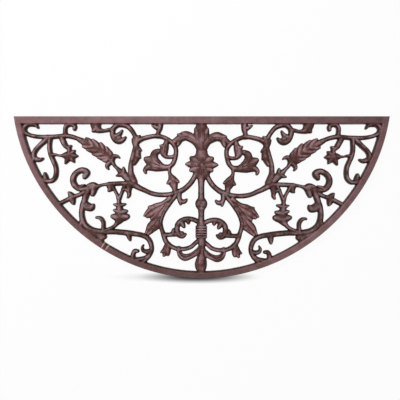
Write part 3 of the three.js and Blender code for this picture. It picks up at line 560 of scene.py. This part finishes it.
def gather_pattern(kind, name, strands, hand):
    """Adds a member of the pattern with its crowned strands, bosses and sinks, and carves its lines"""
    crown = crowns.get(kind, STEM_CROWN)
    parts = []
    for i, points in enumerate(strands):
        area, outside, across = strand_field(points, hand)
        middle = CREST - (first_drops.get(kind, 0) if i == 0 else 0)
        height = middle - crown * np.minimum(abs(across), 1) ** 2 - OUTER_FALL * np.maximum(outside, 0)
        parts.append((area, outside, height))
    for x, y, radius in bosses.get(kind, []):
        place = placed((x, y), hand)
        area = window(place - radius - REACH, place + radius + REACH)
        away = away_from(place, area)
        parts.append((area, away - radius + BOSS_INSET, CREST + BOSS_RISE - BOSS_FALL * (away / radius) ** 2))
    for x, y, radius, depth in sinks.get(kind, []):
        place = placed((x, y), hand)
        for area, _, height in parts:
            height -= depth * np.clip(1 - away_from(place, area) / radius, 0, 1)
    gather(name, parts)
    for depth, width, line in carved_lines.get(kind, []):
        tapers = 1 - LINE_TAPER * np.arange(len(line)) / (len(line) - 1)
        points = [[x, y, width / STEM_WIDTH * taper] for (x, y), taper in zip(line, tapers)]
        area, outside, _ = strand_field(points, hand)
        cut = depth * np.clip(-outside / (width / 2), 0, 1)
        carved[area] = np.where(abs(cut) > abs(carved[area]), cut, carved[area])


# The frame: its rim is an arc, and its bar ends inside the rim
FRAME = ("rim", "bar")
everywhere = (slice(None), slice(None))
from_centre = np.hypot(grid_x, rim_centre_y - grid_y)
corner_angle = math.atan2(half_span, rim_centre_y - back_y)
rim_share = np.minimum(abs(np.arctan2(grid_x, rim_centre_y - grid_y)) / corner_angle, 1)
past_rim = from_centre - (rim_radius - RIM_FLATTEN * np.sin(np.pi * rim_share) ** 2)
past_inside = past_rim + RIM_WIDTH
past_front = grid_y - back_y + BAR_WIDTH
half_rim = (RIM_WIDTH + RIM_SPLAY) / 2
rim_outside = abs(past_rim + half_rim) - half_rim
bar_outside = np.maximum(abs(grid_y - back_y + BAR_WIDTH / 2) - BAR_WIDTH / 2, past_inside)
rim_bevel = BEVEL_SLOPE * np.maximum(RIM_BEVEL - past_inside, 0)
bar_bevel = BEVEL_SLOPE * np.maximum(BAR_BEVEL - past_front, 0)
gather("rim", [(everywhere, rim_outside, -rim_bevel - FRAME_FALL * np.maximum(past_rim, 0))])
gather("bar", [(everywhere, bar_outside, -bar_bevel - FRAME_FALL * np.maximum(past_inside - RIM_BEVEL, 0))])

for name, strands in centre.items():
    gather_pattern(name, name, strands, -1)
for name, strands in paired.items():
    for side, hand in (("left", -1), ("right", 1)):
        own = unlike_strands.get(name, {}).get(side, [])
        gather_pattern(name, f"{name}_{side}", strands + own, hand)

# Distance outside the iron, height of the tread, and the number of the member that each place belongs to
field = -FILLET * np.log(np.maximum(closeness, FAINT))
for size, wave, seed in EDGE_WAVES:
    field += size * ripple(wave, seed)
field = np.maximum(field, np.maximum(grid_y - back_y, past_rim) + FLARE)
tread = THICKNESS + CREASE * np.log(np.maximum(raised, FAINT))
for size, wave, seed in TREAD_WAVES:
    tread += size * ripple(wave, seed)
tread = np.clip(tread - carved, THICKNESS - DEEPEST, THICKNESS - SKIN)
label = np.where(field < 0, np.where(owner > 0, owner, nearest_owner), 0)
SIDES = ((1, 0), (-1, 0), (0, 1), (0, -1))


def largest_only(label):
    """Each member keeps its largest island. A smaller one goes to the neighbour that it touches most."""
    seen = set()
    islands = {}
    for start in zip(*(places.tolist() for places in np.nonzero(label))):
        if start in seen:
            continue
        seen.add(start)
        island = [start]
        for j, i in island:  # it grows as it is gone through
            for spot in ((j + dj, i + di) for dj, di in SIDES):
                if label[spot] == label[start] and spot not in seen:
                    seen.add(spot)
                    island.append(spot)
        islands.setdefault(label[start], []).append(island)
    for number, found in islands.items():
        for island in sorted(found, key=len)[:-1]:
            touched = [label[j + dj, i + di] for j, i in island for dj, di in SIDES]
            touched = [n for n in touched if n not in (0, number)]
            choice = max(set(touched), key=touched.count) if touched else 0
            for spot in island:
                label[spot] = choice


def mend_corners(label):
    """No member touches itself or a gap only at a corner of the grid."""
    while True:
        a, b, c, d = label[:-1, :-1], label[:-1, 1:], label[1:, :-1], label[1:, 1:]
        first = (a == d) & (a != b) & (a != c) & (a > 0)
        second = (b == c) & (b != a) & (b != d) & (b > 0) & ~first
        if not first.any() and not second.any():
            return
        b[first] = a[first]
        rows, columns = np.nonzero(second)
        label[rows, columns] = label[rows, columns + 1]


mend_corners(label)
largest_only(label)
mend_corners(label)

# How pale each place is painted: paler where it stands above its surroundings, partly real wear by shoes
# and partly a painted highlight, and darker where it lies below them, as painted shade
WEAR_AND_SHADE_REACH = 3.0  # these surroundings
WEAR_AND_SHADE_LEVEL = 0.535  # where a place stands level with them
WEAR_AND_SHADE_CONTRAST = 0.56  # more for each millimetre above them
PATTERN_PAINTED_FALLOFF = 0.05  # the pattern is painted darker towards the right corner, a painted falloff of the light
BROAD_REACH = 5.0  # leaves and flowers are told from stems by the iron within this reach
BROAD_SHARE = 0.78  # share of iron there, above which a place counts as broad
BROAD_RUB = 0.28  # broad places are rubbed paler, and stems less
BROAD_DEPTH = 3.0  # it takes hold over this distance from an edge
SOFTEN_REACH = 2.5  # a soft average takes in so many of its own radii
FRAME_WEAR = 0.56  # how much the rim and the bar are rubbed, at half the mat's depth
FRAME_PAINTED_FALLOFF = 0.11  # paler towards the bar and darker towards the bottom of the rim, a painted falloff of the light
BAR_PAINTED_FALLOFF = 0.30  # darker at the right end of the bar, a painted falloff of the light
RIM_PAINTED_FALLOFF = 0.25  # darker at the right end of the rim, a painted falloff of the light
RIM_RUBBED = (222, 140, 0.42)  # more on the right half of the rim: middle, reach and amount
FRAME_BEVEL_PAINTED_SHADE = 0.12  # painted shade: darker for each millimetre down the slope along the rim's inner edge
PAINTED_SHADE_DEPTH = 4.0  # no further than this
EDGE_PAINTED_SHADE = 0.45  # share of the paleness that is left at a tread edge, a painted shade along the edges


def soften(values, radius):
    """Values of the grid averaged over their surroundings, each way in turn"""
    most = int(SOFTEN_REACH * radius / STEP)
    steps = np.arange(-most, most + 1)
    weights = np.exp(-(steps * STEP) ** 2 / (2 * radius ** 2))
    for axis in (0, 1):
        values = sum(weight * np.roll(values, step, axis) for step, weight in zip(steps, weights))
    return values / weights.sum() ** 2


solid = (label > 0).astype(float)
around = soften(tread * solid, WEAR_AND_SHADE_REACH) / np.maximum(soften(solid, WEAR_AND_SHADE_REACH), TINY)
# Paler above the surroundings and darker below them: partly wear, partly painted highlight and painted shade
wear_and_shade = WEAR_AND_SHADE_LEVEL + WEAR_AND_SHADE_CONTRAST * (tread - around)
wear_and_shade += BROAD_RUB * (soften(solid, BROAD_REACH) - BROAD_SHARE) * np.clip(-field / BROAD_DEPTH, 0, 1)
# Painted falloff of the light: darker towards the right, and the frame darker towards the bottom of the rim
right_share = np.maximum(grid_x, 0) / half_span
wear_and_shade -= PATTERN_PAINTED_FALLOFF * right_share
rim_mask, bar_mask = (label == names.index(name) + 1 for name in FRAME)
frame_mask = rim_mask | bar_mask
frame_wear_and_falloff = (FRAME_WEAR + FRAME_PAINTED_FALLOFF * grid_y / back_y
              - np.where(bar_mask, BAR_PAINTED_FALLOFF, RIM_PAINTED_FALLOFF) * right_share ** 2)
rubbed_x, rubbed_reach, rubbed_more = RIM_RUBBED
frame_wear_and_falloff += rim_mask * rubbed_more * np.exp(-((grid_x - rubbed_x) / rubbed_reach) ** 2)
wear_and_shade[frame_mask] = frame_wear_and_falloff[frame_mask]
# Painted shade down the slope along the rim's inner edge
wear_and_shade = np.clip(wear_and_shade - FRAME_BEVEL_PAINTED_SHADE * np.clip(THICKNESS - tread, 0, PAINTED_SHADE_DEPTH) * frame_mask, 0, 1)

# One vertex for each square of the grid that has iron at a corner
CROSSING_MARGIN = 0.02  # a crossing stays this share of a side away from the corners
CELL_MARGIN = 0.05  # and an edge vertex this share of a side inside its square
EDGE_PULLS = 3  # times that an edge vertex is drawn onto the true edge
LEAST_STEEP = 0.2  # square of the least slope that counts then


def at_corners(values):
    """Values of a grid at the four corners of each of its squares, in turn round the square"""
    return np.stack([values[:-1, :-1], values[:-1, 1:], values[1:, 1:], values[1:, :-1]])


used = (at_corners(label) > 0).any(0)
cell_number = np.full(used.shape, -1)
cell_number[used] = np.arange(used.sum())
cell_rows, cell_columns = np.nonzero(used)
label_at, field_at = at_corners(label)[:, used], at_corners(field)[:, used]
on_edge = (label_at == 0).any(0)
offsets = np.array([(0, 0), (1, 0), (1, 1), (0, 1)], float)
spot = np.zeros((len(cell_rows), 2))
weight = np.zeros(len(cell_rows))
for p, q in zip(range(4), (1, 2, 3, 0)):
    crosses_edge = (label_at[p] == 0) != (label_at[q] == 0)
    crosses = np.where(on_edge, crosses_edge, label_at[p] != label_at[q])
    steep = field_at[p] - field_at[q]
    share = np.where(on_edge, field_at[p] / np.where(abs(steep) < TINY, TINY, steep), 0.5)
    share = np.clip(share, CROSSING_MARGIN, 1 - CROSSING_MARGIN)[:, None]
    spot += crosses[:, None] * (offsets[p] + (offsets[q] - offsets[p]) * share)
    weight += crosses
spot = np.where(weight[:, None] > 0, spot / np.maximum(weight, 1)[:, None], 0.5)
cell_origin = np.stack([xs[cell_columns], ys[cell_rows]], 1)
spot = cell_origin + spot * STEP


def sample(values, where):
    """Values of a grid at any points, between its four neighbours"""
    u, v = (where[:, 0] - xs[0]) / STEP, (where[:, 1] - ys[0]) / STEP
    i, j = u.astype(int), v.astype(int)
    return between_four(values, j, i, v - j, u - i)


def slope_at(values, where):
    """How fast a grid's values rise along x and along y, at any points"""
    along_y, along_x = np.gradient(values, STEP)
    return np.stack([sample(along_x, where), sample(along_y, where)], 1)


for _ in range(EDGE_PULLS):
    slope = slope_at(field, spot)
    move = (sample(field, spot) / np.maximum((slope ** 2).sum(1), LEAST_STEEP))[:, None] * slope
    moved = np.clip(spot - move, cell_origin + CELL_MARGIN * STEP, cell_origin + (1 - CELL_MARGIN) * STEP)
    spot = np.where(on_edge[:, None], moved, spot)

depth_in = np.clip(-sample(field, spot), 0, None)
outward = slope_at(field, spot)
outward /= np.maximum(np.linalg.norm(outward, axis=1), TINY)[:, None]
height = sample(tread, spot)
wear_and_shade_at = sample(wear_and_shade, spot) * np.where(on_edge, EDGE_PAINTED_SHADE, 1)

WALL_KNEE = 0.6  # height of the middle ring, as a share of the thickness
# The top ring lies 30 degrees round the edge's curve: how far in and down, in radii, and how far it leans
LIP_IN, LIP_DOWN, LIP_TILT = 0.134, 0.5, 0.577
LEAST_RISE = 0.04  # square of the least height that the edge's curve divides by
lean = FLARE / THICKNESS
# Rings of each edge vertex, from the floor up, as distance outside the tread edge, height and tilt
ring_rules = [
    (FLARE - FOOT_CHAMFER, np.zeros_like(height), 0.0),
    (FLARE, np.full_like(height, FOOT_CHAMFER), lean),
    (FLARE * (1 - WALL_KNEE), np.full_like(height, THICKNESS * WALL_KNEE), lean),
    (0.0, height - EDGE_ROUND, lean),
    (-LIP_IN * EDGE_ROUND, height - EDGE_ROUND * LIP_DOWN, LIP_TILT),
]
rings = []
ring_normals = []
top_ring = len(ring_rules) - 1
rounding = np.clip(depth_in, 0, EDGE_ROUND) - EDGE_ROUND
rise = EDGE_ROUND ** 2 - rounding ** 2
fall = EDGE_ROUND - np.sqrt(np.maximum(rise, 0))
fall_slope = rounding / np.sqrt(np.maximum(rise, LEAST_RISE))
tread_normal = np.concatenate([-(slope_at(tread, spot) + fall_slope[:, None] * outward),
                               np.ones((len(spot), 1))], 1)
for level, (out, up, tilt) in enumerate(ring_rules):
    edge_place = np.concatenate([spot + outward * out, up[:, None]], 1)
    inner_up = (height - fall) * level / top_ring
    inner_place = np.concatenate([spot, inner_up[:, None]], 1)
    rings.append(np.where(on_edge[:, None], edge_place, inner_place) / PER_METRE)
    edge_normal = np.concatenate([outward, np.full((len(spot), 1), tilt)], 1)
    normal = np.where(on_edge[:, None], edge_normal, tread_normal)
    ring_normals.append(normal / np.linalg.norm(normal, axis=1)[:, None])

# How much paler or darker some members are rubbed than the rest
RUBBED = {"wheat_ear": 1.24, "bowl_leaf": 1.15, "rosette": 1.13, "centre_stem": 1.12, "side_scroll": 1.05,
          "main_stem": 1.05, "star_flower": 0.74, "bowl_spiral": 0.87, "lower_stem": 0.86, "ring_leaf": 0.96}
# How pink the paint is, against brown with an olive cast
ROSY_PLAIN = 0.35
ROSY_RISE = {"rim": 0.5}  # added for each half depth towards the bar
ROSY = {"rim": 0.5, "bar": 0.9, "bowl_leaf": 1.0, "wheat_ear": 0.9, "crown_plume": 0.8, "rosette": 0.7,
        "ring_leaf": 1.0, "lily": 0.7, "star_flower": 0.8, "ring_bud": 0.8, "bar_leaf": 0.7, "swag": 0.8,
        "rim_leaf": 0.9, "foot_plume": 0.6, "main_stem": 0.5, "ring": 0.6}
MERGE_WITHIN = 1e-9  # points of an underside's outline that are closer count as one


def bottom_faces(places, edges):
    """Triangles that fill the outline of a member's underside, facing down"""
    found = delaunay_2d_cdt([tuple(p) for p in places], [tuple(e) for e in edges], [], 2, MERGE_WITHIN)
    faces, sources = found[2], found[3]
    faces = np.array([[sources[v][0] for v in face] for face in faces])
    first, second = (places[faces[:, k]] - places[faces[:, 0]] for k in (1, 2))
    upward = first[:, 0] * second[:, 1] > first[:, 1] * second[:, 0]
    return np.where(upward[:, None], faces[:, ::-1], faces)


def build_mesh(name, vertices, loops, sizes):
    """A mesh from its vertices, the corners of its faces one after another, and how many each face has"""
    mesh = bpy.data.meshes.new(name)
    mesh.vertices.add(len(vertices))
    mesh.vertices.foreach_set("co", vertices.astype(np.float32).ravel())
    mesh.loops.add(len(loops))
    mesh.loops.foreach_set("vertex_index", loops.astype(np.int32))
    mesh.polygons.add(len(sizes))
    mesh.polygons.foreach_set("loop_start", np.concatenate([[0], np.cumsum(sizes)[:-1]]).astype(np.int32))
    mesh.polygons.foreach_set("use_smooth", np.ones(len(sizes), bool))
    mesh.update(calc_edges=True)
    mesh.validate()
    return mesh


def set_attribute(mesh, name, values):
    """Gives each vertex a number that the paint reads"""
    mesh.attributes.new(name, "FLOAT", "POINT").data.foreach_set("value", values.astype(np.float32))


def member_mesh(name, number):
    """Cuts one member out of the relief: its tread, the walls round it ring by ring, and its underside"""
    rows, columns = np.nonzero(label == number)
    quads = at_corners(cell_number)[:, rows - 1, columns - 1].T
    edges = []
    for dj, di, a, b in ((0, 1, 1, 2), (1, 0, 2, 3), (0, -1, 3, 0), (-1, 0, 0, 1)):
        other = label[rows + dj, columns + di]
        differs = other != number
        edges.append(np.stack([quads[differs, a], quads[differs, b], other[differs] == 0], 1))
    edges = np.concatenate(edges)
    top_ids, quads = np.unique(quads, return_inverse=True)
    quads = quads.reshape(-1, 4)
    ends = edges[:, :2]
    edge_ids = np.unique(ends)
    place_in_edge = np.searchsorted(edge_ids, ends)
    place_in_top = np.searchsorted(top_ids, ends)
    vertices = np.concatenate([rings[top_ring][top_ids], *(ring[edge_ids] for ring in rings[:top_ring])])

    def ring_index(level, which):
        if level == top_ring:
            return place_in_top[:, which]
        return len(top_ids) + level * len(edge_ids) + place_in_edge[:, which]

    # Walls: a wall that faces a gap is smooth, and one that faces a neighbour is flat
    outer = edges[:, 2] == 1
    run = spot[ends[:, 1]] - spot[ends[:, 0]]
    flat = np.stack([run[:, 1], -run[:, 0], np.zeros(len(run))], 1)
    flat /= np.maximum(np.linalg.norm(flat, axis=1), TINY)[:, None]
    walls = []
    wall_normals = []
    for level in range(top_ring):
        corners = [(level + 1, 1), (level + 1, 0), (level, 0), (level, 1)]
        walls.append(np.stack([ring_index(*corner) for corner in corners], 1))
        wall_normals.append(np.stack([np.where(outer[:, None], ring_normals[ring][ends[:, which]], flat)
                                      for ring, which in corners], 1))
    walls = np.concatenate(walls)
    under = rings[0][edge_ids][:, :2] * PER_METRE
    triangles = bottom_faces(under, place_in_edge) + len(top_ids)
    down = np.tile([0.0, 0.0, -1.0], (triangles.size, 1))
    normals = np.concatenate([ring_normals[top_ring][top_ids][quads].reshape(-1, 3),
                              np.concatenate(wall_normals).reshape(-1, 3), down])
    loops = np.concatenate([quads.ravel(), walls.ravel(), triangles.ravel()])
    sizes = np.repeat([4, 3], [len(quads) + len(walls), len(triangles)])
    mesh = build_mesh(name + "_cast", vertices, loops, sizes)
    kind = name.removesuffix("_left").removesuffix("_right")
    # Walls and underside keep nothing, so they take the deep colour: painted shade in the walls
    vertex_wear_and_shade = np.zeros(len(vertices))
    vertex_wear_and_shade[:len(top_ids)] = wear_and_shade_at[top_ids] * RUBBED.get(kind, 1)
    set_attribute(mesh, "wear_and_shade", vertex_wear_and_shade)
    rise = ROSY_RISE.get(kind, 0) * vertices[:, 1] * PER_METRE / back_y
    set_attribute(mesh, "rosy", ROSY.get(kind, ROSY_PLAIN) + rise)
    mesh.normals_split_custom_set(normals.tolist())
    piece = bpy.data.objects.new(name + "_cast", mesh)
    bpy.context.scene.collection.objects.link(piece)
    return piece


def feed(tree, socket, value):
    """Sets a shader input to a number or colour, or links another node's output to it"""
    if isinstance(value, bpy.types.NodeSocket):
        tree.links.new(value, socket)
    else:
        socket.default_value = value


def node(tree, kind, *sources, **values):
    """Adds a shader node. Values go to its settings and named inputs, and sources to its inputs in turn."""
    made = tree.nodes.new("ShaderNode" + kind)
    for key, value in values.items():
        if hasattr(made, key):
            setattr(made, key, value)
        else:
            feed(tree, made.inputs[key.replace("_", " ")], value)
    for socket, source in zip(made.inputs, sources):
        feed(tree, socket, source)
    return made


def combined(tree, operation, a, b):
    """Two numbers combined into one"""
    return node(tree, "Math", a, b, operation=operation).outputs[0]


def scaled(tree, source, span, to_span, **values):
    """A number moved from one range to another"""
    return node(tree, "MapRange", Value=source, From_Min=span[0], From_Max=span[1], To_Min=to_span[0],
                To_Max=to_span[1], **values).outputs["Result"]


def mixed(tree, share, a, b, **values):
    """One colour mixed into another"""
    return node(tree, "Mix", data_type="RGBA", **values, Factor=share, A=a, B=b).outputs["Result"]


def emptied(owner):
    """The emptied node tree of a material or a world"""
    owner.use_nodes = True
    owner.node_tree.nodes.clear()
    return owner.node_tree


def off_patch(tree, where, x, y, reach_x, reach_y, angle=0):
    """Distance from the middle of an oval patch on the tread or the floor, in its own reaches"""
    patch = node(tree, "Mapping", vector_type="TEXTURE", Vector=where, Location=(x, y, 0),
                 Rotation=(0, 0, math.radians(angle)), Scale=(reach_x, reach_y, ANY_HEIGHT))
    return node(tree, "VectorMath", patch.outputs["Vector"], operation="LENGTH").outputs["Value"]


def srgb(red, green, blue):
    """A colour as seen, 0 to 255, as the linear values that a shader takes"""
    return tuple((c / 255 / 12.92 if c / 255 <= 0.04045 else ((c / 255 + 0.055) / 1.055) ** 2.4)
                 for c in (red, green, blue)) + (1.0,)


WHITE = (1, 1, 1, 1)
ANY_HEIGHT = 1000.0  # metres, so that a patch reaches through the whole thickness
NOISES = ((55.0, 4.0), (85.0, 4.0), (420.0, 3.0))  # scale and detail of the blotches, stains and grain
PIT_SCALE = 700.0
# Where the values of a noise lie, and what the paint makes of them
BLOTCH_SPAN = (0.35, 0.65)
HUE_SPAN = (0.42, 0.58)
STAIN_SPAN = (0.40, 0.60)
STAIN_STRENGTH = (0.05, 1.0)
ROSY_STRENGTH = (1.0, 0.12)  # share of the stain on brown paint and on pink
GRAIN_SPAN = (0.3, 0.7)
GRAIN_SHADE = (0.86, 1.12)
ROUGHNESS = (0.34, 0.52)
CHIP_EDGE = (0.5, 1.1)  # a chip fades out between these shares of its reach
BUMP_HEIGHT = 0.0002


def cast_iron(name, pale, middle, deep, stains, patches, chips=()):
    """Dark red brown paint over sand-cast iron: paler on raised places, partly real wear by shoes and partly
    a painted highlight, and dark in the walls as painted shade.
    Stains are two tints that it drifts between, and patches how much less or more a place is rubbed."""
    material = bpy.data.materials.new(name)
    tree = emptied(material)
    where = node(tree, "TexCoord").outputs["Object"]
    blotch, stain, grain = (
        node(tree, "TexNoise", Vector=where, Scale=scale, Detail=detail, Roughness=0.6).outputs["Fac"]
        for scale, detail in NOISES)
    pits = node(tree, "TexVoronoi", Vector=where, Scale=PIT_SCALE).outputs["Distance"]
    wear_and_shade, rosy = (node(tree, "Attribute", attribute_name=kind).outputs["Fac"] for kind in ("wear_and_shade", "rosy"))
    rubbed_and_shaded = combined(tree, "MULTIPLY", wear_and_shade, scaled(tree, blotch, BLOTCH_SPAN, patches))
    tone = node(tree, "ValToRGB", Fac=rubbed_and_shaded)
    ramp = tone.color_ramp
    ramp.elements[0].color = deep
    ramp.elements[1].color = pale
    ramp.elements.new(0.5).color = middle
    stained = combined(tree, "MULTIPLY", scaled(tree, stain, STAIN_SPAN, STAIN_STRENGTH),
                       scaled(tree, rosy, (0, 1), ROSY_STRENGTH))
    hue = mixed(tree, scaled(tree, blotch, HUE_SPAN, (0, 1)), *stains)
    colour = mixed(tree, stained, tone.outputs["Color"], hue, blend_type="MULTIPLY")
    for x, y, length, width, angle, strength, paint in chips:
        metres = [size / PER_METRE for size in (x, y, length / 2, width / 2)]
        mask = scaled(tree, off_patch(tree, where, *metres, angle), CHIP_EDGE, (1, 0))
        colour = mixed(tree, combined(tree, "MULTIPLY", mask, strength), colour, paint)
    shade = scaled(tree, grain, GRAIN_SPAN, GRAIN_SHADE)
    fine = node(tree, "Bump", Strength=0.35, Distance=BUMP_HEIGHT, Height=pits, Normal=node(
        tree, "Bump", Strength=0.5, Distance=BUMP_HEIGHT, Height=grain).outputs["Normal"])
    shader = node(tree, "BsdfPrincipled", Metallic=0.0, Specular_IOR_Level=0.22,
                  Base_Color=node(tree, "VectorMath", colour, operation="SCALE", Scale=shade).outputs[0],
                  Roughness=scaled(tree, grain, GRAIN_SPAN, ROUGHNESS), Normal=fine.outputs["Normal"])
    node(tree, "OutputMaterial", Surface=shader.outputs["BSDF"])
    return material


# Marks on the rim at the lower left: a dark patch and two thin scratches down to a tan undercoat, as
# x, y, length, width, angle, strength and colour
CHIPS = [(-194.6, -98.5, 15.0, 11.0, 57.0, 0.6, srgb(70, 42, 36)),
         (-199.1, -96.5, 16.0, 2.8, 59.4, 1.0, srgb(216, 182, 162)),
         (-190.1, -100.5, 16.0, 2.8, 54.9, 1.0, srgb(216, 182, 162))]
# The pale colours are partly a painted highlight on raised places, and the deep colours painted shade in
# walls and hollows
frame_iron = cast_iron(
    "frame_iron", pale=srgb(164, 124, 130), middle=srgb(123, 89, 92), deep=srgb(58, 24, 20),
    stains=(srgb(230, 238, 208), srgb(232, 238, 226)), patches=(0.78, 1.14), chips=CHIPS)
pattern_iron = cast_iron(
    "pattern_iron", pale=srgb(174, 133, 135), middle=srgb(91, 54, 52), deep=srgb(56, 17, 15),
    stains=(srgb(184, 238, 192), srgb(180, 226, 234)), patches=(0.48, 1.34))

for number, name in enumerate(names, 1):
    piece = member_mesh(name, number)
    on_frame = name in FRAME
    piece.data.materials.append(frame_iron if on_frame else pattern_iron)
    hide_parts(name)
    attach(piece, "root")

# Floor, in metres: just under the mat, and as white as its surroundings
FLOOR_REACH = 3.0
FLOOR_Z = -0.0003
FLOOR_GLOW = 0.95  # share of the floor's white that no shadow darkens
# Painted soft shadows on the floor under the lowest stretch of the rim: middle, reach each way, share of
# the reach that is darkest, and depth
PAINTED_SHADOWS = [(-0.007, -0.1627, 0.136, 0.0155, 0.19, 0.95), (-0.080, -0.1627, 0.125, 0.012, 0.10, 0.18)]


def background_ray(tree):
    """One for a ray that shows the background: straight to the camera, in gloss or through glass"""
    ray = node(tree, "LightPath").outputs
    direct_or_gloss = combined(tree, "MAXIMUM", ray["Is Camera Ray"], ray["Is Glossy Ray"])
    return combined(tree, "MAXIMUM", direct_or_gloss, ray["Is Transmission Ray"])


def floor_material():
    """A white floor that takes only a little of the mat's real shadow, with painted shadow patches under the
    rim
    """
    material = bpy.data.materials.new("floor_white")
    tree = emptied(material)
    where = node(tree, "TexCoord").outputs["Object"]
    lit = [scaled(tree, off_patch(tree, where, *patch), (full, 1), (1 - depth, 1),
                  interpolation_type="SMOOTHSTEP") for *patch, full, depth in PAINTED_SHADOWS]
    matt = node(tree, "BsdfDiffuse", Color=srgb(238, 238, 240))
    glow = node(tree, "Emission", Color=WHITE, Strength=combined(tree, "MULTIPLY", *lit))
    seen = combined(tree, "MULTIPLY", background_ray(tree), FLOOR_GLOW)
    mix = node(tree, "MixShader", seen, matt.outputs[0], glow.outputs[0])
    node(tree, "OutputMaterial", Surface=mix.outputs[0])
    return material


floor_mesh = bpy.data.meshes.new("floor")
floor_corners = [(x * FLOOR_REACH, y * FLOOR_REACH, FLOOR_Z) for x, y in ((-1, -1), (1, -1), (1, 1), (-1, 1))]
floor_mesh.from_pydata(floor_corners, [], [(0, 1, 2, 3)])
floor_mesh.materials.append(floor_material())
floor = bpy.data.objects.new("floor", floor_mesh)
bpy.context.scene.collection.objects.link(floor)

# World: dim light on the mat, and white behind it
SKY_LIGHT = 0.28
world = bpy.data.worlds.new("studio")
bpy.context.scene.world = world
tree = emptied(world)
skies = [node(tree, "Background", Color=WHITE, Strength=strength).outputs[0] for strength in (SKY_LIGHT, 1.0)]
mix = node(tree, "MixShader", background_ray(tree), *skies)
node(tree, "OutputWorld", Surface=mix.outputs[0])


def area_light(name, place, aim, size, power):
    """A round soft light, placed and aimed in metres, that the camera doesn't see"""
    lamp = bpy.data.lights.new(name, "AREA")
    lamp.shape = "DISK"
    lamp.size = size
    lamp.energy = power
    made = bpy.data.objects.new(name, lamp)
    made.location = place
    direction = [a - p for a, p in zip(aim, place)]
    made.rotation_euler = Vector(direction).to_track_quat("-Z", "Y").to_euler()
    made.visible_camera = False
    bpy.context.scene.collection.objects.link(made)


area_light("key", place=(-0.4, 0.85, 0.9), aim=(-0.05, 0.05, 0.0), size=0.4, power=9.5)
area_light("fill", place=(-1.1, -0.2, 0.6), aim=(-0.1, 0.0, 0.0), size=0.4, power=3.2)

# Camera: straight above the mat, as near as the dark walls that show beside the members tell
PHOTO_WIDTH = 400
MM_PER_PIXEL = 2.015  # at the tread face
PHOTO_MIDDLE_X = 201.7  # pixel column of the mat's middle
PHOTO_BACK_Y = 115.9  # pixel row of the bar's back edge
CAMERA_HEIGHT = 900.0  # above the tread face
SENSOR = 36.0
frame_width = PHOTO_WIDTH * MM_PER_PIXEL
frame_x = (PHOTO_WIDTH / 2 - PHOTO_MIDDLE_X) * MM_PER_PIXEL
frame_y = back_y - (PHOTO_WIDTH / 2 - PHOTO_BACK_Y) * MM_PER_PIXEL
camera = bpy.data.objects.new("camera", bpy.data.cameras.new("camera"))
camera.data.sensor_width = SENSOR
camera.data.lens = SENSOR * CAMERA_HEIGHT / frame_width
camera.location = (frame_x / PER_METRE, frame_y / PER_METRE, (THICKNESS + CAMERA_HEIGHT) / PER_METRE)
bpy.context.scene.collection.objects.link(camera)
bpy.context.scene.camera = camera
bpy.context.scene.view_settings.view_transform = "Standard"
